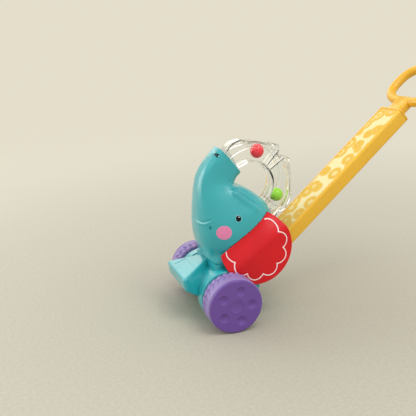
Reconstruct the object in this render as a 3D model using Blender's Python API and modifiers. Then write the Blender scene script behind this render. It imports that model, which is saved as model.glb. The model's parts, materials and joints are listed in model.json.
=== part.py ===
"""Push-along elephant toy: a clear bead ring whirls through its trunk when the wheels turn.

The elephant faces -Y, its left side is +X and the floor is Z = 0. The wheels turn the axle gear, an idler
gear turns the roller shaft, and two friction rollers on that shaft turn the ring by its rails.
Lengths are in metres. Every piece hangs from one empty, whose place centres the toy over the origin.
"""

import math

import bmesh
import bpy
from mathutils import Matrix, Vector

# Wheels and axle
WHEEL_RADIUS = 0.0340
WHEEL_WIDTH = 0.0260
FACE_RADIUS = 0.0332
FACE_THICKNESS = 0.0032
WHEEL_DRUM_RADIUS = 0.0250
WHEEL_WALL = 0.0028
WHEEL_HUB_RADIUS = 0.0068
FACE_EDGE = 0.0008
TYRE_LUG_DEPTH = 0.0016
TYRE_LUG_WIDTH = 0.0135
TYRE_SHOULDER = 0.0015
DIMPLE_RADIUS = 0.0080
DIMPLE_DEPTH = 0.0016
DIMPLE_CIRCLE = 0.0195
DIMPLES = 5
FIRST_DIMPLE_DEG = 2.4
CAP_RADIUS = 0.0088
CAP_THICKNESS = 0.0012
CAP_RECESS = 0.0018
CAP_DISH = 0.0005
AXLE_RADIUS = 0.0025
AXLE_END_INSET = 0.0024
BUSH_RADIUS = 0.0050
BUSH_FLANGE_RADIUS = 0.0070
BUSH_FLANGE = 0.0014
AXLE_BOSS_RADIUS = 0.0085
AXLE_BOSS_DEPTH = 0.0070

# Clearances
SEAT_GAP = 0.0003
RUNNING_GAP = 0.0003
SLOT_GAP = 0.0008
OVERRUN = 0.0020
ROOT = 0.0008

# Head shells: the first four shares of a row follow the body's depth, which is drawn round the ring, and the
# fifth runs from the trunk's half width to the cheeks'
BODY_WALL = 0.0024
TRUNK_PLAY = 0.0005
CHEEK_BULGE = 0.0042
HEAD_STATION_SHARES = [
    (0.040, 2.110, 0.320, 1.785, 0.180, 0.035),
    (-0.060, 2.000, 0.270, 1.735, 0.182, 0.035),
    (-0.155, 1.875, 0.242, 1.680, 0.186, 0.035),
    (-0.210, 1.765, 0.243, 1.643, 0.198, 0.034),
    (-0.238, 1.640, 0.330, 1.625, 0.228, 0.031),
    (-0.252, 1.490, 0.430, 1.580, 0.282, 0.028),
    (-0.256, 1.340, 0.560, 1.490, 0.345, 0.027),
    (-0.252, 1.190, 0.660, 1.395, 0.400, 0.027),
    (-0.240, 1.050, 0.745, 1.240, 0.430, 0.027),
    (-0.212, 0.920, 0.785, 1.060, 0.430, 0.028),
    (-0.170, 0.800, 0.785, 0.890, 0.410, 0.030),
    (-0.148, 0.725, 0.780, 0.725, 0.385, 0.032),
]
SQUARE_POWER_SHARE = 0.01
HEAD_STEPS = 2
HEAD_SIDE_STEPS = 10

# Ear, whose upper edge lies along the cheek's lower edge
EAR_LINE_SHARE = (0.267, 1.091)
EAR_SLOPE_DEG = 36.4
EAR_RADIUS = 0.0455
EAR_DROP = 0.0225
EAR_THICKNESS = 0.0024
EAR_WALL = 0.0025
EAR_LIFT = 0.0004
EAR_WHEEL_GAP = 0.0022
EAR_FLARE = 0.0096
EAR_FLARE_RUN = 0.0260
EAR_WRAP_START = 0.0100
EAR_WRAP_RUN = 0.0300
EAR_WRAP = 0.0080
EAR_EDGE_GAP = 0.0005
EAR_RECESS_FRONT = 0.0440
EAR_LAST_DEG = 86.0
PEG_RADIUS = 0.0026
PEG_LENGTH = 0.0062
PEG_OFFSET = 0.0180
PEG_DROP = 0.0090

# Base, whose side view is drawn in shares of the body's depth
BASE_HALF_WIDTH = 0.0360
BASE_EDGE = 0.0030
BASE_TOP_SHARE = 0.717
UNDERSIDE_FRONT_SHARE = (-0.250, 0.295)
UNDERSIDE_REAR_SHARE = (0.220, 0.045)
BASE_OUTLINE_SHARES = [
    (-0.140, 0.717), (-0.520, 0.575), (-0.495, 0.425), (-0.250, 0.295), (0.220, 0.045),
    (0.360, 0.045), (0.500, 0.120), (0.525, 0.370), (0.765, 0.490), (0.780, 0.717),
]
HEEL_OUTLINE_SHARES = [(0.200, 0.090), (0.260, 0.0), (0.655, 0.0), (0.655, 0.055), (0.500, 0.150)]
HEEL_HALF_WIDTH = 0.0110
BASE_MOUTH_FRONT = 0.0090
FENDER_INSET = 0.0015
FENDER_WHEEL_GAP = 0.0060
FENDER_EDGE = 0.0012
FENDER_OPENING_RADIUS = 0.0130
WAIST_POINT_SHARE = (-0.508, 0.579)
WAIST_POINT_OUT = 0.0005
WAIST_TURN_DEG = 28.3
WAIST_LIFT_DEG = 20.2
WAIST_REAR = 0.0120
WAIST_FENDER_STEP = 0.0010
PANEL_LENGTH = 0.0170
PANEL_SIDE = 0.0180
PANEL_DEPTH = 0.0006
PANEL_BACK = 0.0183

# Cover in the underside
COVER_END = 0.0056
COVER_SIDE = 0.0090
COVER_THICKNESS = 0.0024
COVER_LEDGE = 0.0050
COVER_SCREW_RADIUS = 0.0009
COVER_HEAD_RADIUS = 0.0017
COVER_HEAD_HEIGHT = 0.0010

# Screws that hold the shells
SCREW_RADIUS = 0.0012
SCREW_HEAD_RADIUS = 0.0024
SCREW_HEAD_HEIGHT = 0.0018
POST_WALL = 0.0013
SCREW_REACH = 0.0085
TRUNK_SCREW_ANGLE_DEG = 139.5
TRUNK_SCREW_SEAT_X = 0.0060
CHEEK_SCREW_SHARE = (-0.160, 1.190)
CHEEK_SCREW_SEAT_X = 0.0170
CHEEK_POST_REACH = 0.0262
REAR_SCREW_SHARE = (0.700, 0.890)
REAR_SCREW_SEAT_X = 0.0280
NECK_SCREW_INSET = 0.0090
NECK_SCREW_SHARE = -0.080
NECK_SEAT_DEPTH = 0.0117
NECK_BOSS_HEIGHT = 0.0133
NECK_SCREW_HEIGHT = 0.0098
BEND_DIMPLE_SHARE = (0.140, 1.710)
BEND_DIMPLE_DEPTH = 0.0012

# Clear ring
RING_AT_SHARE = (0.480, 1.620)
RING_LOBE_RADIUS = 0.0598
RING_LOBE_SHARE = 0.598
RING_LOBE_RISE = 0.0060
RING_WALL = 0.0018
RING_SIDE_WALL = 0.0017
RING_CHAMBERS = 4
RING_TURN_DEG = -2.0
RING_EDGE_DEG = (-45.0, -41.0, -38.0, -35.0, -32.0, -29.0, -26.0, -20.0, -8.0, 2.0, 8.0, 13.0, 18.0, 26.0,
                 33.0, 38.0, 42.0, 45.0)
RING_EDGE_SHARES = (0.856, 0.876, 0.936, 0.990, 1.000, 0.978, 0.945, 0.925, 0.914, 0.912, 0.926, 0.965, 0.998,
                    1.000, 0.992, 0.960, 0.915, 0.890)
CHAMBER_HALF_DEG = 37.0
CORNER_START_DEG = 39.6
RAIL_INSET = 0.0098
RAIL_THICKNESS = 0.0022
RAIL_WIDTH = 0.0033
BEAD_RADIUS = 0.00875
BEAD_OUTER_PLAY = 0.00075
BEAD_INNER_PLAY = 0.00295
BEAD_SIDE_PLAY = 0.00055
RED_BEAD_DEG = 76.6
GREEN_BEAD_DEG = -24.2
SLOT_START_DEG = -98.0
SLOT_END_DEG = -18.0

# Gears and rollers
GEAR_TRAIN_SHARE = 1.0186
AXLE_TEETH = 16
IDLER_TEETH = 41
SHAFT_TEETH = 20
GEAR_GAP = 0.0009
GEAR_WIDTH = 0.0050
GEAR_BACKLASH = 0.0003
ROOT_DEPTH_SHARE = 1.2
TIP_HEIGHT_SHARE = 0.9
PRESSURE_DEG = 20.0
ROLLER_RADIUS = 0.0140
ROLLER_INSET = 0.0006
ROLLER_WIDTH = 0.0027
ROLLER_HUB_RADIUS = 0.0045
ROLLER_HUB_REACH = 0.0008
SHAFT_ANGLE_DEG = -110.6
SHAFT_RADIUS = 0.0025
SHAFT_END_GAP = 0.0019
BOSS_RADIUS = 0.0053
SHAFT_BOSS_GAP = 0.0060
IDLER_BOSS_GAP = 0.0030
IDLER_PIN_REACH = 0.0024
IDLER_PIN_HEAD = 0.0018
IDLER_PIN_HEAD_RADIUS = 0.0040
SUPPORT_ANGLE_DEG = -70.0
SUPPORT_RADIUS = 0.0050
SUPPORT_STUB_RADIUS = 0.0019
SUPPORT_POST_RADIUS = 0.0034
SUPPORT_POST_GAP = 0.0005

# Handle
HANDLE_SHELF_SHARE = (0.66637, 0.44068)
HANDLE_SHELF_GAP = 0.00479
HANDLE_SLOPE_DEG = 42.9
HANDLE_WIDTH = 0.0440
HANDLE_THICKNESS = 0.0195
HANDLE_WALL = 0.0015
HANDLE_LENGTH = 0.2720
LABEL_RIM = 0.0040
LABEL_DEPTH = 0.0007
HANDLE_CORNER = 0.0030
HANDLE_PIN_ALONG = 0.0080
HANDLE_PIN_RADIUS = 0.0025
HANDLE_BOSS_RADIUS = 0.0050
HANDLE_HOLE_START = 0.0080
HANDLE_HOLE_END = 0.0520
GRIP_PLUG_LENGTH = 0.0300
GRIP_STEM_LENGTH = 0.0240
GRIP_STEM_WIDTH = 0.0260
GRIP_BAR_RADIUS = 0.0064
GRIP_HALF_WIDTH = 0.0480
GRIP_HALF_LENGTH = 0.0330
GRIP_CORNER_POWER = 2.6
GRIP_SCREW_ALONG = 0.2600

ROUND_STEPS = 24
SMALL_STEPS = 12
ARC_STEPS = 6
RING_STEPS = 72
TYRE_LUGS = 16
MERGE = 0.00001


ALONG_X = Matrix(((0, 0, 1), (1, 0, 0), (0, 1, 0)))


def unit(degrees):
    """Unit vector in the YZ plane."""
    return Vector((0.0, math.cos(math.radians(degrees)), math.sin(math.radians(degrees))))


def on_body(share):
    """A place in the body's side view, given as shares of its depth."""
    return Vector((0.0, share[0], share[1])) * BODY_DEPTH


# The body is drawn round the ring, and the ring's section round its beads
BODY_DEPTH = RING_LOBE_RADIUS / RING_LOBE_SHARE
RING_FLAT_RADIUS = RING_LOBE_RADIUS - RING_LOBE_RISE
RAIL_RADIUS = RING_LOBE_RADIUS - RAIL_INSET
BEAD_TRACK_RADIUS = RING_FLAT_RADIUS - RING_WALL - BEAD_OUTER_PLAY - BEAD_RADIUS
RING_HOLE_RADIUS = BEAD_TRACK_RADIUS - BEAD_RADIUS - BEAD_INNER_PLAY - RING_WALL
RING_HALF_WIDTH = BEAD_RADIUS + BEAD_SIDE_PLAY + RING_SIDE_WALL
TRUNK_CLEARANCE_RADIUS = RING_HOLE_RADIUS - SLOT_GAP
TRUNK_SCREW_RADIAL = RING_LOBE_RADIUS + SLOT_GAP + SCREW_HEAD_RADIUS
RAIL_OUTER_X = RING_HALF_WIDTH + RAIL_WIDTH

# Across the toy, from the ring's rails out to the wheels
TRUNK_HALF_WIDTH = RAIL_OUTER_X + SLOT_GAP + BODY_WALL + TRUNK_PLAY
EAR_RECESS_X = BASE_HALF_WIDTH + BODY_WALL
EAR_ROOT_X = EAR_RECESS_X + EAR_LIFT
INNER_WIDTH_LIMIT = EAR_RECESS_X - EAR_WALL
HEAD_HALF_WIDTH = EAR_ROOT_X + CHEEK_BULGE
WHEEL_INNER_X = EAR_ROOT_X + EAR_FLARE + EAR_THICKNESS + EAR_WHEEL_GAP
WHEEL_OUTER_X = WHEEL_INNER_X + WHEEL_WIDTH
FENDER_FACE_X = WHEEL_INNER_X - FENDER_WHEEL_GAP
FENDER_RADIUS = WHEEL_RADIUS - FENDER_INSET
AXLE_BOSS_INNER = BASE_HALF_WIDTH - AXLE_BOSS_DEPTH
PANEL_WIDTH = 2 * (BASE_HALF_WIDTH - PANEL_SIDE)
COVER_WIDTH = 2 * (BASE_HALF_WIDTH - COVER_SIDE)
NECK_SCREW_X = BASE_HALF_WIDTH - NECK_SCREW_INSET
ROLLER_X = RING_HALF_WIDTH + ROLLER_INSET
SUPPORT_POST_X = ROLLER_X + ROLLER_WIDTH + SUPPORT_POST_GAP
GEAR_X = ROLLER_X + ROLLER_WIDTH + ROLLER_HUB_REACH + GEAR_GAP
SHAFT_BOSS_X = GEAR_X + GEAR_WIDTH + SHAFT_BOSS_GAP
SHAFT_HALF_LENGTH = INNER_WIDTH_LIMIT - SHAFT_END_GAP
IDLER_BOSS_X = GEAR_X + GEAR_WIDTH + IDLER_BOSS_GAP
IDLER_PIN_INNER_X = GEAR_X - IDLER_PIN_REACH

# Heights of the joint between base and head
BASE_TOP = BASE_TOP_SHARE * BODY_DEPTH
NECK_SCREW_Y = NECK_SCREW_SHARE * BODY_DEPTH
NECK_SEAT_Z = BASE_TOP - NECK_SEAT_DEPTH
NECK_TOP_Z = BASE_TOP + NECK_BOSS_HEIGHT
NECK_SCREW_TOP_Z = BASE_TOP + NECK_SCREW_HEIGHT
UNDERSIDE_FRONT = on_body(UNDERSIDE_FRONT_SHARE)
UNDERSIDE_REAR = on_body(UNDERSIDE_REAR_SHARE)
COVER_LENGTH = (UNDERSIDE_REAR - UNDERSIDE_FRONT).length - 2 * COVER_END

AXLE_AT = Vector((0.0, 0.0, WHEEL_RADIUS))
RING_AT = on_body(RING_AT_SHARE)
SHAFT_AT = RING_AT + (RAIL_RADIUS + RUNNING_GAP + ROLLER_RADIUS) * unit(SHAFT_ANGLE_DEG)
SUPPORT_AT = RING_AT + (RAIL_RADIUS + RUNNING_GAP + SUPPORT_RADIUS) * unit(SUPPORT_ANGLE_DEG)
TRUNK_SCREW_AT = RING_AT + TRUNK_SCREW_RADIAL * unit(TRUNK_SCREW_ANGLE_DEG)
HANDLE_WAY = unit(HANDLE_SLOPE_DEG)
HANDLE_SHELF = on_body(HANDLE_SHELF_SHARE) + Vector((0.0, 0.0, HANDLE_SHELF_GAP))
HANDLE_FOOT = HANDLE_SHELF + HANDLE_THICKNESS / 2 * unit(HANDLE_SLOPE_DEG + 90.0)
HANDLE_PIN_AT = HANDLE_FOOT + HANDLE_PIN_ALONG * HANDLE_WAY
EAR_LINE = on_body(EAR_LINE_SHARE)
EAR_ALONG = unit(EAR_SLOPE_DEG)
EAR_DOWN = unit(EAR_SLOPE_DEG - 90.0)
GEAR_MODULE = 2 * GEAR_TRAIN_SHARE * (SHAFT_AT - AXLE_AT).length / (AXLE_TEETH + 2 * IDLER_TEETH + SHAFT_TEETH)


def idler_place():
    """The idler stands where both its centre distances hold; the module lets the train bend a little."""
    near = GEAR_MODULE * (AXLE_TEETH + IDLER_TEETH) / 2
    far = GEAR_MODULE * (SHAFT_TEETH + IDLER_TEETH) / 2
    span = SHAFT_AT - AXLE_AT
    along = (near**2 - far**2 + span.length**2) / (2 * span.length)
    aside = math.sqrt(near**2 - along**2)
    way = span.normalized()
    return AXLE_AT + along * way + aside * Vector((0.0, way.z, -way.y))


IDLER_AT = idler_place()

toy = bpy.data.collections.new("push_along_elephant")
tools = bpy.data.collections.new("cutters")
for old in list(bpy.data.objects):
    bpy.data.objects.remove(old)
bpy.context.scene.collection.children.link(toy)
bpy.context.scene.collection.children.link(tools)
frame = bpy.data.objects.new("toy_frame", None)
toy.objects.link(frame)


def plastic(name, colour, roughness, metallic=0.0, alpha=1.0):
    material = bpy.data.materials.new(name)
    material.use_nodes = True
    shader = material.node_tree.nodes["Principled BSDF"]
    shader.inputs["Base Color"].default_value = (*colour, 1.0)
    shader.inputs["Roughness"].default_value = roughness
    shader.inputs["Metallic"].default_value = metallic
    shader.inputs["Alpha"].default_value = alpha
    return material


TEAL = plastic("teal_plastic", (0.04, 0.42, 0.45), 0.35)
PURPLE = plastic("purple_plastic", (0.14, 0.07, 0.28), 0.35)
LILAC = plastic("lilac_tyre", (0.34, 0.22, 0.52), 0.5)
RED = plastic("red_plastic", (0.60, 0.02, 0.03), 0.3)
YELLOW = plastic("yellow_plastic", (0.80, 0.50, 0.04), 0.35)
CLEAR = plastic("clear_plastic", (0.90, 0.92, 0.92), 0.08, alpha=0.3)
GREEN_BEAD = plastic("green_bead", (0.25, 0.60, 0.04), 0.25)
RED_BEAD = plastic("red_bead", (0.65, 0.01, 0.04), 0.25)
WHITE = plastic("white_nylon", (0.80, 0.80, 0.78), 0.4)
STEEL = plastic("steel", (0.55, 0.55, 0.56), 0.3, metallic=1.0)
RUBBER = plastic("black_rubber", (0.03, 0.03, 0.03), 0.7)


def place(name, mesh, at, material, collection=toy):
    """A new object at its own origin, hung from the toy's frame."""
    thing = bpy.data.objects.new(name, mesh)
    thing.location = at
    thing.parent = frame
    collection.objects.link(thing)
    if material:
        mesh.materials.append(material)
    if collection is tools:
        thing.hide_render = True
        thing.display_type = "WIRE"
    mesh.shade_smooth()
    mesh.set_sharp_from_angle(angle=math.radians(35))
    return thing


def plate(name, loops, x_from, x_to, at, material=None, collection=toy):
    """A flat outline in the YZ plane, with any holes, from x_from to x_to."""
    curve = bpy.data.curves.new(name, "CURVE")
    curve.dimensions = "2D"
    curve.fill_mode = "BOTH"
    curve.extrude = (x_to - x_from) / 2
    for loop in loops:
        spline = curve.splines.new("POLY")
        spline.points.add(len(loop) - 1)
        for point, (y, z) in zip(spline.points, loop):
            point.co = (y, z, 0.0, 1.0)
        spline.use_cyclic_u = True
    drawn = bpy.data.objects.new(name + "_outline", curve)
    bpy.context.scene.collection.objects.link(drawn)
    view = bpy.context.evaluated_depsgraph_get()
    mesh = bpy.data.meshes.new_from_object(drawn.evaluated_get(view))
    bpy.data.objects.remove(drawn)
    middle = (x_from + x_to) / 2
    mesh.transform(Matrix(((0, 0, 1, middle), (1, 0, 0, 0), (0, 1, 0, 0), (0, 0, 0, 1))))
    shape = bmesh.new()
    shape.from_mesh(mesh)
    bmesh.ops.remove_doubles(shape, verts=shape.verts, dist=MERGE)
    bmesh.ops.recalc_face_normals(shape, faces=shape.faces)
    shape.to_mesh(mesh)
    shape.free()
    return place(name, mesh, at, material, collection)


def turned(name, profile, at, material=None, collection=toy, steps=ROUND_STEPS, side=1):
    """A closed profile of (x, radius) points turned about the X axis; side -1 mirrors it."""
    mesh = bpy.data.meshes.new(name)
    points = [(side * x, 0.0, radius) for x, radius in profile]
    swept = sum(a[0] * b[2] - b[0] * a[2] for a, b in zip(points, points[1:] + points[:1]))
    if swept < 0:
        points.reverse()
    open_ends = min(profile[0][1], profile[-1][1]) == 0.0
    count = len(points)
    edges = [(i, (i + 1) % count) for i in range(count - 1 if open_ends else count)]
    mesh.from_pydata(points, edges, [])
    thing = place(name, mesh, at, material, collection)
    turn = thing.modifiers.new("turn", "SCREW")
    turn.axis = "X"
    turn.steps = turn.render_steps = steps
    turn.use_merge_vertices = True
    turn.merge_threshold = MERGE
    turn.use_smooth_shade = True
    return thing


def rod(name, radius, x_from, x_to, at, material=None, collection=toy, steps=SMALL_STEPS):
    """A round bar along X."""
    middle = at + Vector(((x_from + x_to) / 2, 0.0, 0.0))
    return cylinder(name, radius, x_to - x_from, ALONG_X, middle, material, collection, steps)


def turned_solid(name, profile, at, material=None, collection=toy, steps=ROUND_STEPS):
    """A solid bar about X from stacked (x, radius) steps, closed by flat ends."""
    closed = [(profile[0][0], 0.0)] + list(profile) + [(profile[-1][0], 0.0)]
    return turned(name, closed, at, material, collection, steps)


def upright_rod(name, radius, z_from, z_to, x, y, material=None, collection=toy, steps=SMALL_STEPS):
    """A round bar along Z."""
    middle = (z_from + z_to) / 2
    return cylinder(name, radius, z_to - z_from, Matrix.Identity(3), (x, y, middle), material, collection, steps)


def cylinder(name, radius, depth, turn, at, material, collection, steps=SMALL_STEPS):
    """A cylinder of a given radius and depth, turned by a matrix."""
    shape = bmesh.new()
    bmesh.ops.create_cone(shape, cap_ends=True, segments=steps, radius1=radius, radius2=radius, depth=depth)
    bmesh.ops.transform(shape, matrix=turn.to_4x4(), verts=shape.verts)
    mesh = bpy.data.meshes.new(name)
    shape.to_mesh(mesh)
    shape.free()
    return place(name, mesh, at, material, collection)


def box(name, size, turn, at, material=None, collection=toy):
    """A box of a given size, turned by a matrix."""
    shape = bmesh.new()
    bmesh.ops.create_cube(shape, size=1.0)
    bmesh.ops.transform(shape, matrix=turn.to_4x4() @ Matrix.Diagonal((*size, 1.0)), verts=shape.verts)
    mesh = bpy.data.meshes.new(name)
    shape.to_mesh(mesh)
    shape.free()
    return place(name, mesh, at, material, collection)


def boolean(thing, tool, operation):
    """Cuts the tool out of a piece, or joins it on."""
    step = thing.modifiers.new(tool.name, "BOOLEAN")
    step.operation = operation
    step.solver = "EXACT"
    step.object = tool


def cut(thing, tool):
    boolean(thing, tool, "DIFFERENCE")


def join(thing, tool):
    boolean(thing, tool, "UNION")


def circle(radius, steps=ROUND_STEPS, centre=(0.0, 0.0)):
    return [(centre[0] + radius * math.cos(a), centre[1] + radius * math.sin(a))
            for a in (2 * math.pi * i / steps for i in range(steps))]


def inset(outline, distance):
    """The outline drawn in by a distance; its points run anticlockwise."""
    moved = []
    for i, here in enumerate(outline):
        before, after = Vector(outline[i - 1]), Vector(outline[(i + 1) % len(outline)])
        here = Vector(here)
        first = (here - before).normalized()
        second = (after - here).normalized()
        normal_a = Vector((-first.y, first.x))
        normal_b = Vector((-second.y, second.x))
        bisector = (normal_a + normal_b).normalized()
        moved.append(tuple(here + bisector * (distance / bisector.dot(normal_a))))
    return moved


def smooth(value):
    """0 below 0, 1 above 1 and a smooth rise between."""
    value = min(max(value, 0.0), 1.0)
    return value * value * (3 - 2 * value)


def frame_of(way):
    """Rotation whose X stays X, whose Y runs along a direction in the YZ plane."""
    return Matrix(((1, 0, 0), (0, way.y, -way.z), (0, way.z, way.y)))


def catmull(rows, steps):
    """Rows with steps - 1 smooth rows added between each pair."""
    padded = [rows[0]] + list(rows) + [rows[-1]]
    out = []
    for i in range(1, len(padded) - 2):
        p0, p1, p2, p3 = padded[i - 1:i + 3]
        for k in range(steps):
            t = k / steps
            out.append([0.5 * (2 * b + (c - a) * t + (2 * a - 5 * b + 4 * c - d) * t * t
                               + (3 * b - a - 3 * c + d) * t**3) for a, b, c, d in zip(p0, p1, p2, p3)])
    out.append(list(rows[-1]))
    return out


def head_width(share):
    """Half width of a row: the tables' least share is the trunk's and their largest the cheeks'."""
    shares = [row[4] for row in HEAD_STATION_SHARES]
    least, largest = min(shares), max(shares)
    return TRUNK_HALF_WIDTH + (HEAD_HALF_WIDTH - TRUNK_HALF_WIDTH) * (share - least) / (largest - least)


def head_ring(station, wall, side):
    """Half a section of the head, from its front line round the side to its back line."""
    front_y, front_z, back_y, back_z, half_width, squareness = station
    power = 2 / (squareness / SQUARE_POWER_SHARE)
    front, back = on_body((front_y, front_z)), on_body((back_y, back_z))
    middle = (front + back) / 2
    reach = (back - front) / 2
    reach *= 1 - wall / reach.length
    width = head_width(half_width) - wall
    if wall:
        width = min(width, INNER_WIDTH_LIMIT)
    points = []
    for i in range(HEAD_SIDE_STEPS + 1):
        angle = math.pi * i / HEAD_SIDE_STEPS
        along = -math.copysign(abs(math.cos(angle)) ** power, math.cos(angle))
        out = abs(math.sin(angle)) ** power if 0 < i < HEAD_SIDE_STEPS else 0.0
        point = middle + reach * along
        point.x = side * max(width * out, SEAT_GAP / 2)
        points.append(point)
    return points


def head_half(name, side):
    """One half of the head and trunk: an outer skin, an inner skin and the rims between them."""
    stations = catmull(HEAD_STATION_SHARES, HEAD_STEPS)
    shape = bmesh.new()
    outer = [[shape.verts.new(p) for p in head_ring(s, 0.0, side)] for s in stations]
    inner = [[shape.verts.new(p) for p in head_ring(s, BODY_WALL, side)] for s in stations]
    for skin in (outer, inner):
        for low, high in zip(skin, skin[1:]):
            for i in range(HEAD_SIDE_STEPS):
                shape.faces.new((low[i], low[i + 1], high[i + 1], high[i]))
    for end in (0, -1):
        for i in range(HEAD_SIDE_STEPS):
            shape.faces.new((outer[end][i], outer[end][i + 1], inner[end][i + 1], inner[end][i]))
    for i in (0, HEAD_SIDE_STEPS):
        for k in range(len(stations) - 1):
            shape.faces.new((outer[k][i], outer[k + 1][i], inner[k + 1][i], inner[k][i]))
    bmesh.ops.recalc_face_normals(shape, faces=shape.faces)
    bmesh.ops.triangulate(shape, faces=shape.faces)
    mesh = bpy.data.meshes.new(name)
    shape.to_mesh(mesh)
    shape.free()
    return place(name, mesh, (0, 0, 0), TEAL)


def ear_point(along, down):
    """A point of the ear's plane, in the YZ plane."""
    return EAR_LINE + along * EAR_ALONG + down * EAR_DOWN


def sector(inner, outer, from_deg, to_deg, steps=ARC_STEPS * 2):
    """The outline of a ring sector."""
    angles = [math.radians(from_deg + (to_deg - from_deg) * i / steps) for i in range(steps + 1)]
    far = [(outer * math.cos(a), outer * math.sin(a)) for a in angles]
    near = [(inner * math.cos(a), inner * math.sin(a)) for a in reversed(angles)]
    return far + near


def handle_hole():
    """The hole that the handle passes through, in both the base and the head."""
    length = HANDLE_HOLE_END - HANDLE_HOLE_START
    size = (HANDLE_WIDTH + 2 * SEAT_GAP, length, HANDLE_THICKNESS + 2 * SEAT_GAP)
    at = HANDLE_FOOT + (HANDLE_HOLE_START + length / 2) * HANDLE_WAY
    return box("handle_hole", size, frame_of(HANDLE_WAY), at, collection=tools)


def head_cutters(side):
    """Everything that leaves an opening in one half of the head."""
    label = "left" if side > 0 else "right"

    def x_range(near, far):
        return sorted((side * near, side * far))

    cutters = [rod("fender_room_" + label, FENDER_RADIUS + SEAT_GAP, *x_range(BASE_HALF_WIDTH, FENDER_FACE_X + ROOT),
                   AXLE_AT, collection=tools, steps=ROUND_STEPS)]
    slot = sector(TRUNK_CLEARANCE_RADIUS, RING_LOBE_RADIUS + SLOT_GAP, SLOT_START_DEG, SLOT_END_DEG)
    cutters.append(plate("ring_slot_" + label, [slot], -RAIL_OUTER_X - SLOT_GAP, RAIL_OUTER_X + SLOT_GAP,
                         RING_AT, collection=tools))
    corner = [ear_point(-EAR_RECESS_FRONT, 0.0), ear_point(-EAR_RECESS_FRONT, 2 * EAR_RADIUS),
              ear_point(2 * EAR_RADIUS, 2 * EAR_RADIUS), ear_point(2 * EAR_RADIUS, 0.0)]
    recess = [(p.y, p.z) for p in corner]
    cutters.append(plate("ear_recess_" + label, [recess], *x_range(EAR_RECESS_X, FENDER_FACE_X + OVERRUN),
                         (0, 0, 0), collection=tools))
    cutters.append(ear_solid("ear_room_" + label, side, EAR_EDGE_GAP, EAR_EDGE_GAP, 5 * EAR_THICKNESS, None,
                             tools))
    for along in (-PEG_OFFSET, PEG_OFFSET):
        at = ear_point(along, PEG_DROP)
        cutters.append(rod("peg_hole_" + label, PEG_RADIUS + SEAT_GAP,
                           *x_range(EAR_ROOT_X - PEG_LENGTH, EAR_ROOT_X + OVERRUN), at, collection=tools))
    return cutters


def head_posts(side):
    """Bosses moulded inside one half: (tool to join, bore to cut) pairs."""
    label = "left" if side > 0 else "right"

    def x_range(near, far):
        return sorted((side * near, side * far))

    wall_x = EAR_RECESS_X - ROOT
    pairs = [
        (rod("shaft_boss_" + label, BOSS_RADIUS, *x_range(SHAFT_BOSS_X, wall_x), SHAFT_AT, collection=tools),
         rod("shaft_bore_" + label, SHAFT_RADIUS + SEAT_GAP,
             *x_range(SHAFT_BOSS_X - OVERRUN, SHAFT_HALF_LENGTH + SEAT_GAP), SHAFT_AT, collection=tools)),
        (rod("support_post_" + label, SUPPORT_POST_RADIUS, *x_range(SUPPORT_POST_X, wall_x), SUPPORT_AT,
             collection=tools), None),
        (rod("support_stub_" + label, SUPPORT_STUB_RADIUS, *x_range(ROLLER_X, SUPPORT_POST_X + ROOT), SUPPORT_AT,
             collection=tools), None),
    ]
    for word, at, seat_x in (("trunk", TRUNK_SCREW_AT, TRUNK_SCREW_SEAT_X),
                             ("cheek", on_body(CHEEK_SCREW_SHARE), CHEEK_SCREW_SEAT_X),
                             ("rear", on_body(REAR_SCREW_SHARE), REAR_SCREW_SEAT_X)):
        tip_x = seat_x if side > 0 else SCREW_REACH
        reach = {"trunk": TRUNK_SCREW_SEAT_X + ROOT, "cheek": CHEEK_POST_REACH, "rear": wall_x}[word]
        post_radius = SCREW_HEAD_RADIUS + (ROOT if word == "trunk" else POST_WALL)
        post = rod(word + "_post_" + label, post_radius, *x_range(SEAT_GAP, reach), at, collection=tools)
        bore_end = seat_x + OVERRUN if side > 0 else SCREW_REACH + SEAT_GAP
        bore = rod(word + "_bore_" + label, SCREW_RADIUS + SEAT_GAP, *x_range(-OVERRUN, bore_end), at,
                   collection=tools)
        pairs.append((post, bore))
        if side > 0:
            well = rod(word + "_well", SCREW_HEAD_RADIUS + SEAT_GAP, tip_x, FENDER_FACE_X, at, collection=tools)
            pairs.append((None, well))
    neck = upright_rod("neck_boss_" + label, SCREW_HEAD_RADIUS + POST_WALL, BASE_TOP + SEAT_GAP, NECK_TOP_Z,
                       side * NECK_SCREW_X, NECK_SCREW_Y, collection=tools)
    neck_bore = upright_rod("neck_bore_" + label, SCREW_RADIUS + SEAT_GAP, BASE_TOP - OVERRUN,
                            NECK_SCREW_TOP_Z + SEAT_GAP, side * NECK_SCREW_X, NECK_SCREW_Y, collection=tools)
    pairs.append((neck, neck_bore))
    return pairs


def head_shells():
    """Left and right halves of the head and trunk."""
    hole = handle_hole()
    for label, side in (("left", 1), ("right", -1)):
        half = head_half("head_shell_" + label, side)
        for post, bore in head_posts(side):
            if post:
                join(half, post)
            if bore:
                cut(half, bore)
        for cutter in head_cutters(side):
            cut(half, cutter)
        cut(half, hole)
    dimple = rod("bend_dimple", SCREW_HEAD_RADIUS, head_width(HEAD_STATION_SHARES[3][4]) - BEND_DIMPLE_DEPTH,
                 FENDER_FACE_X, on_body(BEND_DIMPLE_SHARE), collection=tools)
    cut(bpy.data.objects["head_shell_left"], dimple)


def underside():
    """Middle of the sloping underside, its direction and its outward normal."""
    way = (UNDERSIDE_REAR - UNDERSIDE_FRONT).normalized()
    return (UNDERSIDE_FRONT + UNDERSIDE_REAR) / 2, way, Vector((0.0, way.z, -way.y))


def cover_point(x, along, depth):
    """A point of the underside: depth is measured inward from its face."""
    middle, way, out = underside()
    return middle + Vector((x, 0, 0)) + along * way - depth * out


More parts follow.
